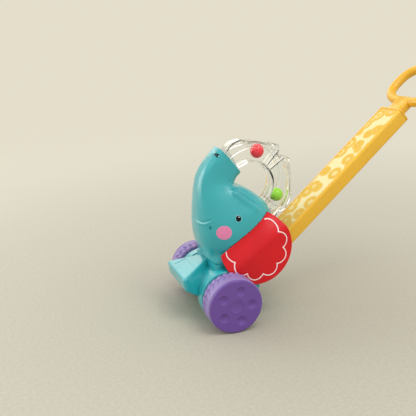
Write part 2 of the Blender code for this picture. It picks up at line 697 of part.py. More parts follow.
def waist_cutter(name, side, drawn_in):
    """What lies beside the foot's slanted side, in front of the neck and outside the fender's circle."""
    radius = FENDER_RADIUS - WAIST_FENDER_STEP - drawn_in
    rear = drawn_in - WAIST_REAR
    start = math.acos(rear / radius)
    turns = [start + (math.pi - start) * i / ARC_STEPS for i in range(ARC_STEPS + 1)]
    outline = [(radius * math.cos(a), WHEEL_RADIUS + radius * math.sin(a)) for a in turns]
    outline += [(-radius, WHEEL_RADIUS / 2), (-BODY_DEPTH, WHEEL_RADIUS / 2), (-BODY_DEPTH, BODY_DEPTH),
                (rear, BODY_DEPTH)]
    block = plate(name, [outline], *sorted((0.0, side * 2 * BASE_HALF_WIDTH)), (0, 0, 0), collection=tools)
    across = unit(WAIST_TURN_DEG)
    up = unit(WAIST_LIFT_DEG)
    out = Vector((side * up.y * across.y, up.y * across.z, up.z))
    point = Vector((side * (BASE_HALF_WIDTH + WAIST_POINT_OUT), *on_body(WAIST_POINT_SHARE).yz))
    size = 4 * BODY_DEPTH
    inside = box(name + "_inside", (size, size, size), out.to_track_quat("X", "Z").to_matrix(),
                 point - out * (drawn_in + size / 2), collection=tools)
    cut(block, inside)
    return block


def base_housing():
    """Foot, fenders and gear well in one moulding, open above and closed below by the cover."""
    outline = [tuple(on_body(share).yz) for share in BASE_OUTLINE_SHARES]
    base = plate("base_housing", [outline], -BASE_HALF_WIDTH, BASE_HALF_WIDTH, (0, 0, 0), TEAL)
    edge = base.modifiers.new("edges", "BEVEL")
    edge.width = BASE_EDGE
    edge.segments = 2
    edge.limit_method = "ANGLE"
    edge.angle_limit = math.radians(50)
    inner_half = BASE_HALF_WIDTH - BODY_WALL
    hollow = plate("base_hollow", [inset(outline, BODY_WALL)], -inner_half, inner_half, (0, 0, 0),
                   collection=tools)
    rear_y = outline[-1][0] - BODY_WALL
    mouth = [(-BASE_MOUTH_FRONT, BASE_TOP - 2 * BODY_WALL), (rear_y, BASE_TOP - 2 * BODY_WALL),
             (rear_y, BASE_TOP + OVERRUN), (-BASE_MOUTH_FRONT, BASE_TOP + OVERRUN)]
    opening = plate("base_mouth", [mouth], -inner_half, inner_half, (0, 0, 0), collection=tools)
    for label, side in (("left", 1), ("right", -1)):
        post = upright_rod("neck_post_" + label, SCREW_HEAD_RADIUS + SEAT_GAP + POST_WALL, -BASE_TOP,
                           2 * BASE_TOP, side * NECK_SCREW_X, NECK_SCREW_Y, collection=tools)
        cut(hollow, post)
        cut(opening, post)
        cut(hollow, waist_cutter("waist_hollow_" + label, side, BODY_WALL))
        cut(base, waist_cutter("waist_" + label, side, 0.0))
    cut(base, hollow)
    cut(base, opening)
    heel = [tuple(on_body(share).yz) for share in HEEL_OUTLINE_SHARES]
    join(base, plate("heel", [heel], -HEEL_HALF_WIDTH, HEEL_HALF_WIDTH, (0, 0, 0), collection=tools))
    for label, side in (("left", 1), ("right", -1)):
        add_fender(base, label, side)
    add_cover_seat(base)
    add_base_posts(base)
    cut(base, bpy.data.objects["handle_hole"])
    add_panel(base, outline)
    return base


def add_fender(base, label, side):
    """The round disc behind a wheel, hollow, with the boss that carries the axle's bush."""
    back = side * (BASE_HALF_WIDTH - BODY_WALL + ROOT)
    drum = rod("fender_" + label, FENDER_RADIUS, *sorted((back, side * FENDER_FACE_X)), AXLE_AT, collection=tools,
               steps=ROUND_STEPS)
    rim = drum.modifiers.new("rim", "BEVEL")
    rim.width = FENDER_EDGE
    rim.segments = 1
    rim.limit_method = "ANGLE"
    rim.angle_limit = math.radians(50)
    join(base, drum)
    inner = sorted((side * (BASE_HALF_WIDTH + ROOT / 2), side * (FENDER_FACE_X - BODY_WALL)))
    cut(base, rod("fender_hollow_" + label, FENDER_RADIUS - BODY_WALL, *inner, AXLE_AT, collection=tools,
                  steps=ROUND_STEPS))
    through = sorted((back - side * OVERRUN, side * (BASE_HALF_WIDTH + ROOT)))
    cut(base, rod("fender_opening_" + label, FENDER_OPENING_RADIUS, *through, AXLE_AT, collection=tools))
    boss_end = WHEEL_INNER_X - SEAT_GAP * 2 - BUSH_FLANGE
    join(base, rod("axle_boss_" + label, AXLE_BOSS_RADIUS, *sorted((side * AXLE_BOSS_INNER, side * boss_end)),
                   AXLE_AT, collection=tools))
    bore = sorted((side * (AXLE_BOSS_INNER - OVERRUN), side * (boss_end + OVERRUN)))
    cut(base, rod("bush_bore_" + label, BUSH_RADIUS + SEAT_GAP, *bore, AXLE_AT, collection=tools))


def add_cover_seat(base):
    """A ledge round the window in the underside, with the rebate that the cover lies in."""
    _, way, _ = underside()
    turn = frame_of(way)
    thickness = BODY_WALL + COVER_LEDGE / 2
    ledge = box("cover_ledge", (COVER_WIDTH + 2 * COVER_LEDGE, COVER_LENGTH + COVER_LEDGE, thickness), turn,
                cover_point(0, 0, ROOT + thickness / 2 + BODY_WALL / 2), collection=tools)
    join(base, ledge)
    window = box("cover_window", (COVER_WIDTH - 2 * COVER_LEDGE, COVER_LENGTH - 2 * COVER_LEDGE, 6 * BODY_WALL),
                 turn, cover_point(0, 0, BODY_WALL), collection=tools)
    cut(base, window)
    depth = COVER_THICKNESS + SEAT_GAP
    rebate = box("cover_rebate", (COVER_WIDTH + 2 * SEAT_GAP, COVER_LENGTH + 2 * SEAT_GAP, depth + OVERRUN), turn,
                 cover_point(0, 0, (depth - OVERRUN) / 2), collection=tools)
    cut(base, rebate)
    for x, along in cover_corners():
        hole = cylinder("ledge_hole", COVER_SCREW_RADIUS + SEAT_GAP, 6 * BODY_WALL, turn,
                        cover_point(x, along, 2 * BODY_WALL), None, tools)
        cut(base, hole)


def cover_corners():
    x = COVER_WIDTH / 2 - COVER_LEDGE / 2
    along = COVER_LENGTH / 2 - COVER_LEDGE / 2
    return [(-x, -along), (x, -along), (-x, along), (x, along)]


def base_cover():
    """The flat cover in the underside and its four screws."""
    _, way, _ = underside()
    turn = frame_of(way)
    cover = box("base_cover", (COVER_WIDTH, COVER_LENGTH, COVER_THICKNESS), turn,
                cover_point(0, 0, COVER_THICKNESS / 2), TEAL)
    length = COVER_THICKNESS + COVER_LEDGE
    for number, (x, along) in enumerate(cover_corners(), 1):
        hole = cylinder("cover_hole_%d" % number, COVER_SCREW_RADIUS + SEAT_GAP, 4 * COVER_THICKNESS, turn,
                        cover_point(x, along, 0), None, tools, steps=SMALL_STEPS // 2)
        cut(cover, hole)
        sink = COVER_HEAD_HEIGHT + 2 * SEAT_GAP
        cut(cover, cylinder("cover_sink_%d" % number, COVER_HEAD_RADIUS + SEAT_GAP, sink + OVERRUN, turn,
                            cover_point(x, along, (sink - OVERRUN) / 2), None, tools))
        screw = cylinder("cover_screw_%d" % number, COVER_SCREW_RADIUS, length, turn,
                         cover_point(x, along, length / 2 + 2 * SEAT_GAP), STEEL, toy, steps=SMALL_STEPS // 2)
        head_depth = COVER_HEAD_HEIGHT / 2 + SEAT_GAP
        head = cylinder("cover_screw_head_%d" % number, COVER_HEAD_RADIUS, COVER_HEAD_HEIGHT, turn,
                        cover_point(x, along, head_depth), None, tools, steps=SMALL_STEPS // 2)
        join(screw, head)


def add_base_posts(base):
    """Posts for the neck screws, and bosses for the idler's pin and the handle's pin."""
    for label, side in (("left", 1), ("right", -1)):
        x = side * NECK_SCREW_X
        cut(base, upright_rod("neck_well_" + label, SCREW_HEAD_RADIUS + SEAT_GAP, 0.0, NECK_SEAT_Z, x,
                              NECK_SCREW_Y, collection=tools))
        cut(base, upright_rod("neck_way_" + label, SCREW_RADIUS + SEAT_GAP, NECK_SEAT_Z - OVERRUN,
                              BASE_TOP + OVERRUN, x, NECK_SCREW_Y, collection=tools))
        wall_x = BASE_HALF_WIDTH - ROOT
        boss = sorted((side * (HANDLE_WIDTH / 2 + SLOT_GAP), side * wall_x))
        join(base, rod("handle_boss_" + label, HANDLE_BOSS_RADIUS, *boss, HANDLE_PIN_AT, collection=tools))
        bore = sorted((side * (HANDLE_WIDTH / 2 - OVERRUN), side * (BASE_HALF_WIDTH - BODY_WALL)))
        cut(base, rod("handle_bore_" + label, HANDLE_PIN_RADIUS + SEAT_GAP, *bore, HANDLE_PIN_AT,
                      collection=tools))
    join(base, rod("idler_boss", BOSS_RADIUS, IDLER_BOSS_X, BASE_HALF_WIDTH - ROOT, IDLER_AT, collection=tools))
    cut(base, rod("idler_bore", SHAFT_RADIUS + SEAT_GAP, IDLER_BOSS_X - OVERRUN, BASE_HALF_WIDTH - BODY_WALL,
                  IDLER_AT, collection=tools))


def add_panel(base, outline):
    """The bare rectangular panel sunk in the sloping top of the foot."""
    rear, front = Vector((0.0, *outline[0])), Vector((0.0, *outline[1]))
    way = (rear - front).normalized()
    out = Vector((0.0, -way.z, way.y))
    middle = rear - (PANEL_BACK + PANEL_LENGTH / 2) * way
    size = (PANEL_WIDTH, PANEL_LENGTH, PANEL_DEPTH + OVERRUN)
    at = middle + out * ((OVERRUN - PANEL_DEPTH) / 2)
    cut(base, box("panel_recess", size, frame_of(way), at, collection=tools))


def gear_outline(teeth, turn):
    """Spur teeth with straight-sided flanks that follow the pressure angle."""
    pitch_radius = GEAR_MODULE * teeth / 2
    rows = [pitch_radius - ROOT_DEPTH_SHARE * GEAR_MODULE, pitch_radius + TIP_HEIGHT_SHARE * GEAR_MODULE]
    thickness = math.pi * GEAR_MODULE / 2 - GEAR_BACKLASH
    slope = math.tan(math.radians(PRESSURE_DEG))
    halves = []
    for radius in rows:
        half = (thickness / 2 - (radius - pitch_radius) * slope) / radius
        halves.append((radius, half))
    points = []
    for k in range(teeth):
        centre = turn + 2 * math.pi * k / teeth
        for radius, half in halves:
            points.append((radius * math.cos(centre - half), radius * math.sin(centre - half)))
        for radius, half in reversed(halves):
            points.append((radius * math.cos(centre + half), radius * math.sin(centre + half)))
    return points


def heading(start, end):
    return math.atan2(end.z - start.z, end.y - start.y)


def gear_train():
    """The three gears, each turned so that its teeth meet the gaps of the one before."""
    first = heading(AXLE_AT, IDLER_AT)
    second = heading(IDLER_AT, SHAFT_AT)
    idler_turn = first + math.pi + (math.pi + AXLE_TEETH * first) / IDLER_TEETH
    shaft_turn = second + math.pi + (math.pi - IDLER_TEETH * (idler_turn - second)) / SHAFT_TEETH
    for name, teeth, turn, at, bore in (
        ("axle_gear", AXLE_TEETH, 0.0, AXLE_AT, AXLE_RADIUS),
        ("idler_gear", IDLER_TEETH, idler_turn, IDLER_AT, SHAFT_RADIUS),
        ("shaft_gear", SHAFT_TEETH, shaft_turn, SHAFT_AT, SHAFT_RADIUS),
    ):
        hole = circle(bore + SEAT_GAP, SMALL_STEPS)
        plate(name, [gear_outline(teeth, turn), hole], GEAR_X, GEAR_X + GEAR_WIDTH, at, WHITE)


def drive_shaft():
    """Roller shaft with its two friction rollers, and the pin of the idler gear."""
    rod("roller_shaft", SHAFT_RADIUS, -SHAFT_HALF_LENGTH, SHAFT_HALF_LENGTH, SHAFT_AT, STEEL)
    bore = SHAFT_RADIUS + SEAT_GAP
    for label, side in (("left", 1), ("right", -1)):
        profile = [(ROLLER_X, bore), (ROLLER_X, ROLLER_RADIUS), (ROLLER_X + ROLLER_WIDTH, ROLLER_RADIUS),
                   (ROLLER_X + ROLLER_WIDTH, ROLLER_HUB_RADIUS),
                   (ROLLER_X + ROLLER_WIDTH + ROLLER_HUB_REACH, ROLLER_HUB_RADIUS),
                   (ROLLER_X + ROLLER_WIDTH + ROLLER_HUB_REACH, bore)]
        turned("drive_roller_" + label, profile, SHAFT_AT, RUBBER, side=side)
        support = [(ROLLER_X, SUPPORT_STUB_RADIUS + SEAT_GAP), (ROLLER_X, SUPPORT_RADIUS),
                   (SUPPORT_POST_X - SEAT_GAP, SUPPORT_RADIUS),
                   (SUPPORT_POST_X - SEAT_GAP, SUPPORT_STUB_RADIUS + SEAT_GAP)]
        turned("support_roller_" + label, support, SUPPORT_AT, WHITE, side=side, steps=SMALL_STEPS)
    pin_end = BASE_HALF_WIDTH - BODY_WALL - SEAT_GAP
    head_x = IDLER_PIN_INNER_X + IDLER_PIN_HEAD
    turned_solid("idler_pin", [(IDLER_PIN_INNER_X, IDLER_PIN_HEAD_RADIUS), (head_x, IDLER_PIN_HEAD_RADIUS),
                               (head_x, SHAFT_RADIUS), (pin_end, SHAFT_RADIUS)], IDLER_AT, STEEL,
                 steps=SMALL_STEPS)


def tyre(label, side):
    """Soft tyre: lugs on its inner part, a smooth shoulder outside."""
    inner_x, lug_x = WHEEL_INNER_X, WHEEL_INNER_X + TYRE_LUG_WIDTH
    outer_x = WHEEL_OUTER_X - FACE_THICKNESS - SEAT_GAP
    bore = WHEEL_DRUM_RADIUS + SEAT_GAP
    steps = TYRE_LUGS * 4
    shape = bmesh.new()

    def ring(x, radius, lugged):
        verts = []
        for i in range(steps):
            angle = 2 * math.pi * i / steps
            here = radius - TYRE_LUG_DEPTH if lugged and i % 4 in (2, 3) else radius
            verts.append(shape.verts.new((side * x, here * math.cos(angle), here * math.sin(angle))))
        return verts

    rings = [ring(inner_x, bore, False), ring(inner_x, WHEEL_RADIUS, True), ring(lug_x, WHEEL_RADIUS, True),
             ring(lug_x + TYRE_LUG_DEPTH, WHEEL_RADIUS, False),
             ring(outer_x - TYRE_SHOULDER, WHEEL_RADIUS, False), ring(outer_x, WHEEL_RADIUS - TYRE_LUG_DEPTH / 2,
                                                                     False), ring(outer_x, bore, False)]
    for low, high in zip(rings, rings[1:] + rings[:1]):
        for i in range(steps):
            j = (i + 1) % steps
            shape.faces.new((low[i], low[j], high[j], high[i]))
    bmesh.ops.recalc_face_normals(shape, faces=shape.faces)
    mesh = bpy.data.meshes.new("tyre_" + label)
    shape.to_mesh(mesh)
    shape.free()
    place("tyre_" + label, mesh, AXLE_AT, LILAC)


def wheel(label, side):
    """Wheel moulding: face, drum and hub, with five round dimples in the face."""
    bore = AXLE_RADIUS + SEAT_GAP
    back_x = WHEEL_OUTER_X - FACE_THICKNESS
    hub_x = WHEEL_INNER_X + SEAT_GAP
    recess_x = WHEEL_OUTER_X - CAP_RECESS
    drum_inner = WHEEL_DRUM_RADIUS - WHEEL_WALL
    profile = [(hub_x, bore), (hub_x, WHEEL_HUB_RADIUS), (back_x, WHEEL_HUB_RADIUS), (back_x, drum_inner),
               (WHEEL_INNER_X, drum_inner), (WHEEL_INNER_X, WHEEL_DRUM_RADIUS), (back_x, WHEEL_DRUM_RADIUS),
               (back_x, FACE_RADIUS), (WHEEL_OUTER_X - FACE_EDGE, FACE_RADIUS),
               (WHEEL_OUTER_X, FACE_RADIUS - FACE_EDGE), (WHEEL_OUTER_X, CAP_RADIUS + SEAT_GAP),
               (recess_x, CAP_RADIUS + SEAT_GAP), (recess_x, bore)]
    body = turned("wheel_" + label, profile, AXLE_AT, PURPLE, side=side)
    ball = DIMPLE_RADIUS
    for k in range(DIMPLES):
        angle = math.radians(FIRST_DIMPLE_DEG + 360 / DIMPLES * k)
        at = AXLE_AT + Vector((side * (WHEEL_OUTER_X + ball - DIMPLE_DEPTH), DIMPLE_CIRCLE * math.cos(angle),
                               DIMPLE_CIRCLE * math.sin(angle)))
        shape = bmesh.new()
        bmesh.ops.create_uvsphere(shape, u_segments=SMALL_STEPS, v_segments=SMALL_STEPS // 2, radius=ball)
        mesh = bpy.data.meshes.new("dimple")
        shape.to_mesh(mesh)
        shape.free()
        cut(body, place("dimple_%s_%d" % (label, k), mesh, at, None, tools))
    low = WHEEL_OUTER_X - CAP_RECESS + SEAT_GAP
    cap = [(low, CAP_RADIUS), (low + CAP_THICKNESS, CAP_RADIUS),
           (low + CAP_THICKNESS, CAP_RADIUS - CAP_THICKNESS), (low + CAP_THICKNESS - CAP_DISH, 0.0)]
    cap_shape = [(low, 0.0)] + cap
    turned("wheel_cap_" + label, cap_shape, AXLE_AT, PURPLE, side=side)


def bush(label, side):
    """Flanged sleeve that carries the axle in the base."""
    bore = AXLE_RADIUS + RUNNING_GAP
    flange_x = WHEEL_INNER_X - SEAT_GAP - BUSH_FLANGE
    end_x = WHEEL_INNER_X - SEAT_GAP
    profile = [(AXLE_BOSS_INNER, bore), (AXLE_BOSS_INNER, BUSH_RADIUS), (flange_x, BUSH_RADIUS),
               (flange_x, BUSH_FLANGE_RADIUS), (end_x, BUSH_FLANGE_RADIUS), (end_x, bore)]
    turned("axle_bush_" + label, profile, AXLE_AT, WHITE, side=side, steps=SMALL_STEPS)


def running_gear():
    """Axle with its wheels, tyres, caps and bushes."""
    end = WHEEL_OUTER_X - AXLE_END_INSET
    rod("axle", AXLE_RADIUS, -end, end, AXLE_AT, STEEL)
    for label, side in (("left", 1), ("right", -1)):
        wheel(label, side)
        tyre(label, side)
        bush(label, side)


def ring_radius(degrees):
    """Outer radius of the ring: each flat side has a broad lobe at one end and a narrow one at the other, and
    neighbouring sides are mirror images."""
    step = 360 / RING_CHAMBERS
    side, place_on_side = divmod(degrees - RING_TURN_DEG + step / 2, step)
    from_middle = place_on_side - step / 2
    if side % 2 == 0:
        from_middle = -from_middle
    knots = list(zip(RING_EDGE_DEG, RING_EDGE_SHARES))
    for (start, low), (end, high) in zip(knots, knots[1:]):
        if from_middle <= end:
            break
    return RING_LOBE_RADIUS * (low + (high - low) * (from_middle - start) / (end - start))


def ring_outline(drawn_in, from_deg, to_deg, steps):
    """Points along the ring's outer wall, drawn in by a distance."""
    points = []
    for i in range(steps + 1):
        degrees = from_deg + (to_deg - from_deg) * i / steps
        radius = ring_radius(degrees) - drawn_in
        points.append((radius * math.cos(math.radians(degrees)), radius * math.sin(math.radians(degrees))))
    return points


def ring_half(label, side):
    """One clear half: outer and inner walls, a side wall, the chambers' ends and a rail."""
    outline = ring_outline(0.0, 0.0, 360.0, RING_STEPS)[:-1]
    near, far = sorted((side * SEAT_GAP / 2, side * RING_HALF_WIDTH))
    half = plate("ring_half_" + label, [outline, circle(RING_HOLE_RADIUS, RING_STEPS // 2)], near, far, RING_AT,
                 CLEAR)
    rail_x = sorted((side * (RING_HALF_WIDTH - ROOT), side * RAIL_OUTER_X))
    rail = [circle(RAIL_RADIUS, RING_STEPS // 2), circle(RAIL_RADIUS - RAIL_THICKNESS, RING_STEPS // 2)]
    join(half, plate("rail_" + label, rail, *rail_x, RING_AT, collection=tools))
    inside = sorted((-side * OVERRUN, side * (RING_HALF_WIDTH - RING_SIDE_WALL)))
    hub = RING_HOLE_RADIUS + RING_WALL
    for k in range(RING_CHAMBERS):
        centre = RING_TURN_DEG + 360 / RING_CHAMBERS * k
        corner_end = centre + 360 / RING_CHAMBERS - CORNER_START_DEG
        spans = [(centre - CHAMBER_HALF_DEG, centre + CHAMBER_HALF_DEG, ARC_STEPS * 2),
                 (centre + CORNER_START_DEG, corner_end, ARC_STEPS // 2)]
        for number, (start, end, steps) in enumerate(spans):
            far_side = ring_outline(RING_WALL, start, end, steps)
            near_side = [(hub * math.cos(math.radians(a)), hub * math.sin(math.radians(a)))
                         for a in (end + (start - end) * i / steps for i in range(steps + 1))]
            cut(half, plate("chamber_%s_%d_%d" % (label, k, number), [far_side + near_side], *inside, RING_AT,
                            collection=tools))


def bead(name, degrees, material):
    """A round bead on its track inside the ring, with its origin on the ring's axis."""
    shape = bmesh.new()
    bmesh.ops.create_uvsphere(shape, u_segments=16, v_segments=10, radius=BEAD_RADIUS)
    bmesh.ops.translate(shape, vec=BEAD_TRACK_RADIUS * unit(degrees), verts=shape.verts)
    mesh = bpy.data.meshes.new(name)
    shape.to_mesh(mesh)
    shape.free()
    place(name, mesh, RING_AT, material)


def whirling_ring():
    ring_half("left", 1)
    ring_half("right", -1)
    bead("bead_red", RED_BEAD_DEG, RED_BEAD)
    bead("bead_green", GREEN_BEAD_DEG, GREEN_BEAD)


def ear_depth(along, down):
    """How far out the ear's inner face lies: it flares downward and wraps the back of the head."""
    flare = EAR_FLARE * smooth(down / EAR_FLARE_RUN)
    wrap = EAR_WRAP * (max(along - EAR_WRAP_START, 0.0) / EAR_WRAP_RUN) ** 2
    return EAR_ROOT_X + flare - wrap * (1 - smooth(down / EAR_FLARE_RUN))


def ear_solid(name, side, margin, back, thickness, material, collection=toy):
    """The ear's dished plate, cut straight along the cheek; a margin and a back step make its clearance."""
    rows, columns = 8, 10
    radius = EAR_RADIUS + margin
    first = math.asin((EAR_EDGE_GAP - margin - EAR_DROP) / radius)
    shape = bmesh.new()
    inner, outer = [], []
    for i in range(rows + 1):
        angle = first + (math.radians(EAR_LAST_DEG) - first) * i / rows
        down = EAR_DROP + radius * math.sin(angle)
        half = radius * math.cos(angle)
        near_row, far_row = [], []
        for k in range(columns + 1):
            along = half * (2 * k / columns - 1)
            point = ear_point(along, down)
            depth = ear_depth(along, down) - back
            near_row.append(shape.verts.new((side * depth, point.y, point.z)))
            far_row.append(shape.verts.new((side * (depth + thickness), point.y, point.z)))
        inner.append(near_row)
        outer.append(far_row)
    for skin in (inner, outer):
        for low, high in zip(skin, skin[1:]):
            for k in range(columns):
                shape.faces.new((low[k], low[k + 1], high[k + 1], high[k]))
    for end in (0, -1):
        for k in range(columns):
            shape.faces.new((inner[end][k], inner[end][k + 1], outer[end][k + 1], outer[end][k]))
    for k in (0, columns):
        for i in range(rows):
            shape.faces.new((inner[i][k], inner[i + 1][k], outer[i + 1][k], outer[i][k]))
    bmesh.ops.recalc_face_normals(shape, faces=shape.faces)
    bmesh.ops.triangulate(shape, faces=shape.faces)
    mesh = bpy.data.meshes.new(name)
    shape.to_mesh(mesh)
    shape.free()
    return place(name, mesh, (0, 0, 0), material, collection)


def ear(label, side):
    """An ear with the two pegs that enter the head."""
    plate_part = ear_solid("ear_" + label, side, 0.0, 0.0, EAR_THICKNESS, RED)
    for number, along in enumerate((-PEG_OFFSET, PEG_OFFSET)):
        end_x = ear_depth(along, PEG_DROP) + EAR_THICKNESS / 2
        span = sorted((side * (EAR_ROOT_X - PEG_LENGTH + SEAT_GAP), side * end_x))
        join(plate_part, rod("ear_peg_%s_%d" % (label, number), PEG_RADIUS, *span, ear_point(along, PEG_DROP),
                             collection=tools))


def handle_section(width, thickness, corner, label_depth):
    """Outline of the bar across its length: rounded corners, with the label's recess in its top face."""
    points = []
    for sx, sz, start in ((1, 1, 0), (-1, 1, 90), (-1, -1, 180), (1, -1, 270)):
        for i in range(ARC_STEPS // 2 + 1):
            angle = math.radians(start + 90 * i / (ARC_STEPS // 2))
            points.append((sx * (width / 2 - corner) + corner * math.cos(angle),
                           sz * (thickness / 2 - corner) + corner * math.sin(angle)))
        if start == 0 and label_depth:
            edge = width / 2 - LABEL_RIM
            top = thickness / 2
            points += [(edge, top), (edge, top - label_depth), (-edge, top - label_depth), (-edge, top)]
    return points


def along_handle(thing, start):
    """Turns a plate drawn across the handle so that its X runs along the handle."""
    way, up = HANDLE_WAY, Vector((0.0, -HANDLE_WAY.z, HANDLE_WAY.y))
    turn = Matrix(((0, 1, 0), (way.y, 0, up.y), (way.z, 0, up.z)))
    thing.data.transform(turn.to_4x4())
    if turn.determinant() < 0:
        thing.data.flip_normals()
    thing.location = HANDLE_FOOT + start * way


def handle():
    """Hollow bar, its pin in the base, and the loop grip that plugs into its upper end."""
    outer = handle_section(HANDLE_WIDTH, HANDLE_THICKNESS, HANDLE_CORNER, LABEL_DEPTH)
    hollow_width = HANDLE_WIDTH - 2 * HANDLE_WALL
    hollow_depth = HANDLE_THICKNESS - 2 * HANDLE_WALL - LABEL_DEPTH
    hollow = [(x, z - LABEL_DEPTH / 2) for x, z in
              handle_section(hollow_width, hollow_depth, HANDLE_CORNER - HANDLE_WALL / 2, 0.0)]
    bar = plate("handle_bar", [outer, hollow], 0.0, HANDLE_LENGTH, (0, 0, 0), YELLOW)
    along_handle(bar, 0.0)
    cut(bar, rod("handle_pin_hole", HANDLE_PIN_RADIUS + SEAT_GAP, -HANDLE_WIDTH, HANDLE_WIDTH, HANDLE_PIN_AT,
                 collection=tools))
    pin_end = BASE_HALF_WIDTH - BODY_WALL - SEAT_GAP
    rod("handle_pin", HANDLE_PIN_RADIUS, -pin_end, pin_end, HANDLE_PIN_AT, STEEL)
    grip(hollow_width, hollow_depth)


def grip(hollow_width, hollow_depth):
    """A plug that fills the bar's end, a stem, and a closed loop for the hand."""
    plug_outline = [(x, z - LABEL_DEPTH / 2) for x, z in
                    handle_section(hollow_width - 2 * SEAT_GAP, hollow_depth - 2 * SEAT_GAP, HANDLE_CORNER, 0.0)]
    plug = plate("handle_grip", [plug_outline], 0.0, GRIP_PLUG_LENGTH + SEAT_GAP, (0, 0, 0), YELLOW)
    along_handle(plug, HANDLE_LENGTH - GRIP_PLUG_LENGTH)
    stem_outline = handle_section(GRIP_STEM_WIDTH, 2 * GRIP_BAR_RADIUS, HANDLE_CORNER, 0.0)
    stem = plate("grip_stem", [stem_outline], -OVERRUN, GRIP_STEM_LENGTH, (0, 0, 0), collection=tools)
    along_handle(stem, HANDLE_LENGTH + SEAT_GAP)
    join(plug, stem)
    flange_outline = handle_section(HANDLE_WIDTH, HANDLE_THICKNESS, HANDLE_CORNER, 0.0)
    flange = plate("grip_flange", [flange_outline], 0.0, HANDLE_WALL, (0, 0, 0), collection=tools)
    along_handle(flange, HANDLE_LENGTH + SEAT_GAP)
    join(plug, flange)
    curve = bpy.data.curves.new("grip_loop", "CURVE")
    curve.dimensions = "3D"
    curve.bevel_depth = GRIP_BAR_RADIUS
    curve.bevel_resolution = 2
    spline = curve.splines.new("POLY")
    count = 32
    spline.points.add(count - 1)
    centre_along = HANDLE_LENGTH + GRIP_STEM_LENGTH + GRIP_HALF_LENGTH
    for i, point in enumerate(spline.points):
        angle = 2 * math.pi * i / count
        power = 2 / GRIP_CORNER_POWER
        x = GRIP_HALF_WIDTH * math.copysign(abs(math.cos(angle)) ** power, math.cos(angle))
        along = GRIP_HALF_LENGTH * math.copysign(abs(math.sin(angle)) ** power, math.sin(angle))
        at = HANDLE_FOOT + (centre_along + along) * HANDLE_WAY
        point.co = (x, at.y, at.z, 1.0)
    spline.use_cyclic_u = True
    drawn = bpy.data.objects.new("grip_loop_curve", curve)
    bpy.context.scene.collection.objects.link(drawn)
    view = bpy.context.evaluated_depsgraph_get()
    mesh = bpy.data.meshes.new_from_object(drawn.evaluated_get(view))
    bpy.data.objects.remove(drawn)
    join(plug, place("grip_loop", mesh, (0, 0, 0), None, tools))


def screws():
    """Screws that hold the two halves together, and the two that hold the head on the base."""
    for word, at, seat_x in (("trunk", TRUNK_SCREW_AT, TRUNK_SCREW_SEAT_X),
                             ("cheek", on_body(CHEEK_SCREW_SHARE), CHEEK_SCREW_SEAT_X),
                             ("rear", on_body(REAR_SCREW_SHARE), REAR_SCREW_SEAT_X)):
        seat = seat_x + SEAT_GAP
        turned_solid(word + "_screw", [(-SCREW_REACH, SCREW_RADIUS), (seat, SCREW_RADIUS),
                                       (seat, SCREW_HEAD_RADIUS),
                                       (seat + SCREW_HEAD_HEIGHT, SCREW_HEAD_RADIUS)], at, STEEL,
                     steps=SMALL_STEPS)
    for label, side in (("left", 1), ("right", -1)):
        x = side * NECK_SCREW_X
        top = NECK_SEAT_Z - SEAT_GAP
        screw = upright_rod("neck_screw_" + label, SCREW_RADIUS, top - SCREW_HEAD_HEIGHT / 2, NECK_SCREW_TOP_Z, x,
                            NECK_SCREW_Y, STEEL)
        join(screw, upright_rod("neck_head_" + label, SCREW_HEAD_RADIUS, top - SCREW_HEAD_HEIGHT, top, x,
                                NECK_SCREW_Y, collection=tools))


def centre_over_origin():
    """Moves the frame so that the toy's box is centred front to back."""
    bpy.context.view_layer.update()
    view = bpy.context.evaluated_depsgraph_get()
    ends = []
    for thing in toy.objects:
        if thing.type == "MESH":
            solid = thing.evaluated_get(view)
            ends += [(solid.matrix_world @ Vector(corner)).y for corner in solid.bound_box]
    frame.location.y = -(min(ends) + max(ends)) / 2


head_shells()
base_housing()
base_cover()
running_gear()
gear_train()
drive_shaft()
whirling_ring()
ear("left", 1)
ear("right", -1)
handle()
screws()
centre_over_origin()
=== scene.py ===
# %% [markdown]
# # A push-along elephant with a clear bead ring
#
# The real toy is a set of glossy mouldings: two teal head shells on a teal base, red ears, purple wheels
# with lugged tyres, a clear ring with loose beads in it and a yellow handle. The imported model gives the
# true sizes and the moving bodies, so every piece here is worked out in the toy's own millimetres, with y
# counted from the axle, and only the last step turns them into metres.

import json
import math

import bmesh
import bpy
import numpy as np
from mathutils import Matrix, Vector

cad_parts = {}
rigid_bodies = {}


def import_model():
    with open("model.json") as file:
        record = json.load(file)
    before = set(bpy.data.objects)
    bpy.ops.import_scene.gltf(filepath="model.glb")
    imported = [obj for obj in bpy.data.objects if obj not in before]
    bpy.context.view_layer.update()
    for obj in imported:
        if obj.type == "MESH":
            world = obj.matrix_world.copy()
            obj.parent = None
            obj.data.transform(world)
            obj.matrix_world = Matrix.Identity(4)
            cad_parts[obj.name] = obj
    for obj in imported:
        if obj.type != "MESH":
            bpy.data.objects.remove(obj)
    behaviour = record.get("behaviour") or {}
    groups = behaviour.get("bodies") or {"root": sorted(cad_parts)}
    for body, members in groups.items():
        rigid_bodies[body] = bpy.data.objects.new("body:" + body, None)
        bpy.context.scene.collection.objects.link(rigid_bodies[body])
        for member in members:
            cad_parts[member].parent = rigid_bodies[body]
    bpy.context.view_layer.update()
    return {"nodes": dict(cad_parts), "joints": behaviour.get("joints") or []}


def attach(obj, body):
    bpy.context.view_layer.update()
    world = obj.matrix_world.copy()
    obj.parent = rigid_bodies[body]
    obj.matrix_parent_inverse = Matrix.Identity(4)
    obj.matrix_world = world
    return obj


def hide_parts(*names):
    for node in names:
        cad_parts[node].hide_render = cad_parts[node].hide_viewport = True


for leftover in list(bpy.data.objects):
    bpy.data.objects.remove(leftover)
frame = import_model()
MM = 0.001
spots = {joint["name"]: np.array(joint["pos_m"]) / MM for joint in frame["joints"]}
axle_y = spots["wheel_spin"][1]
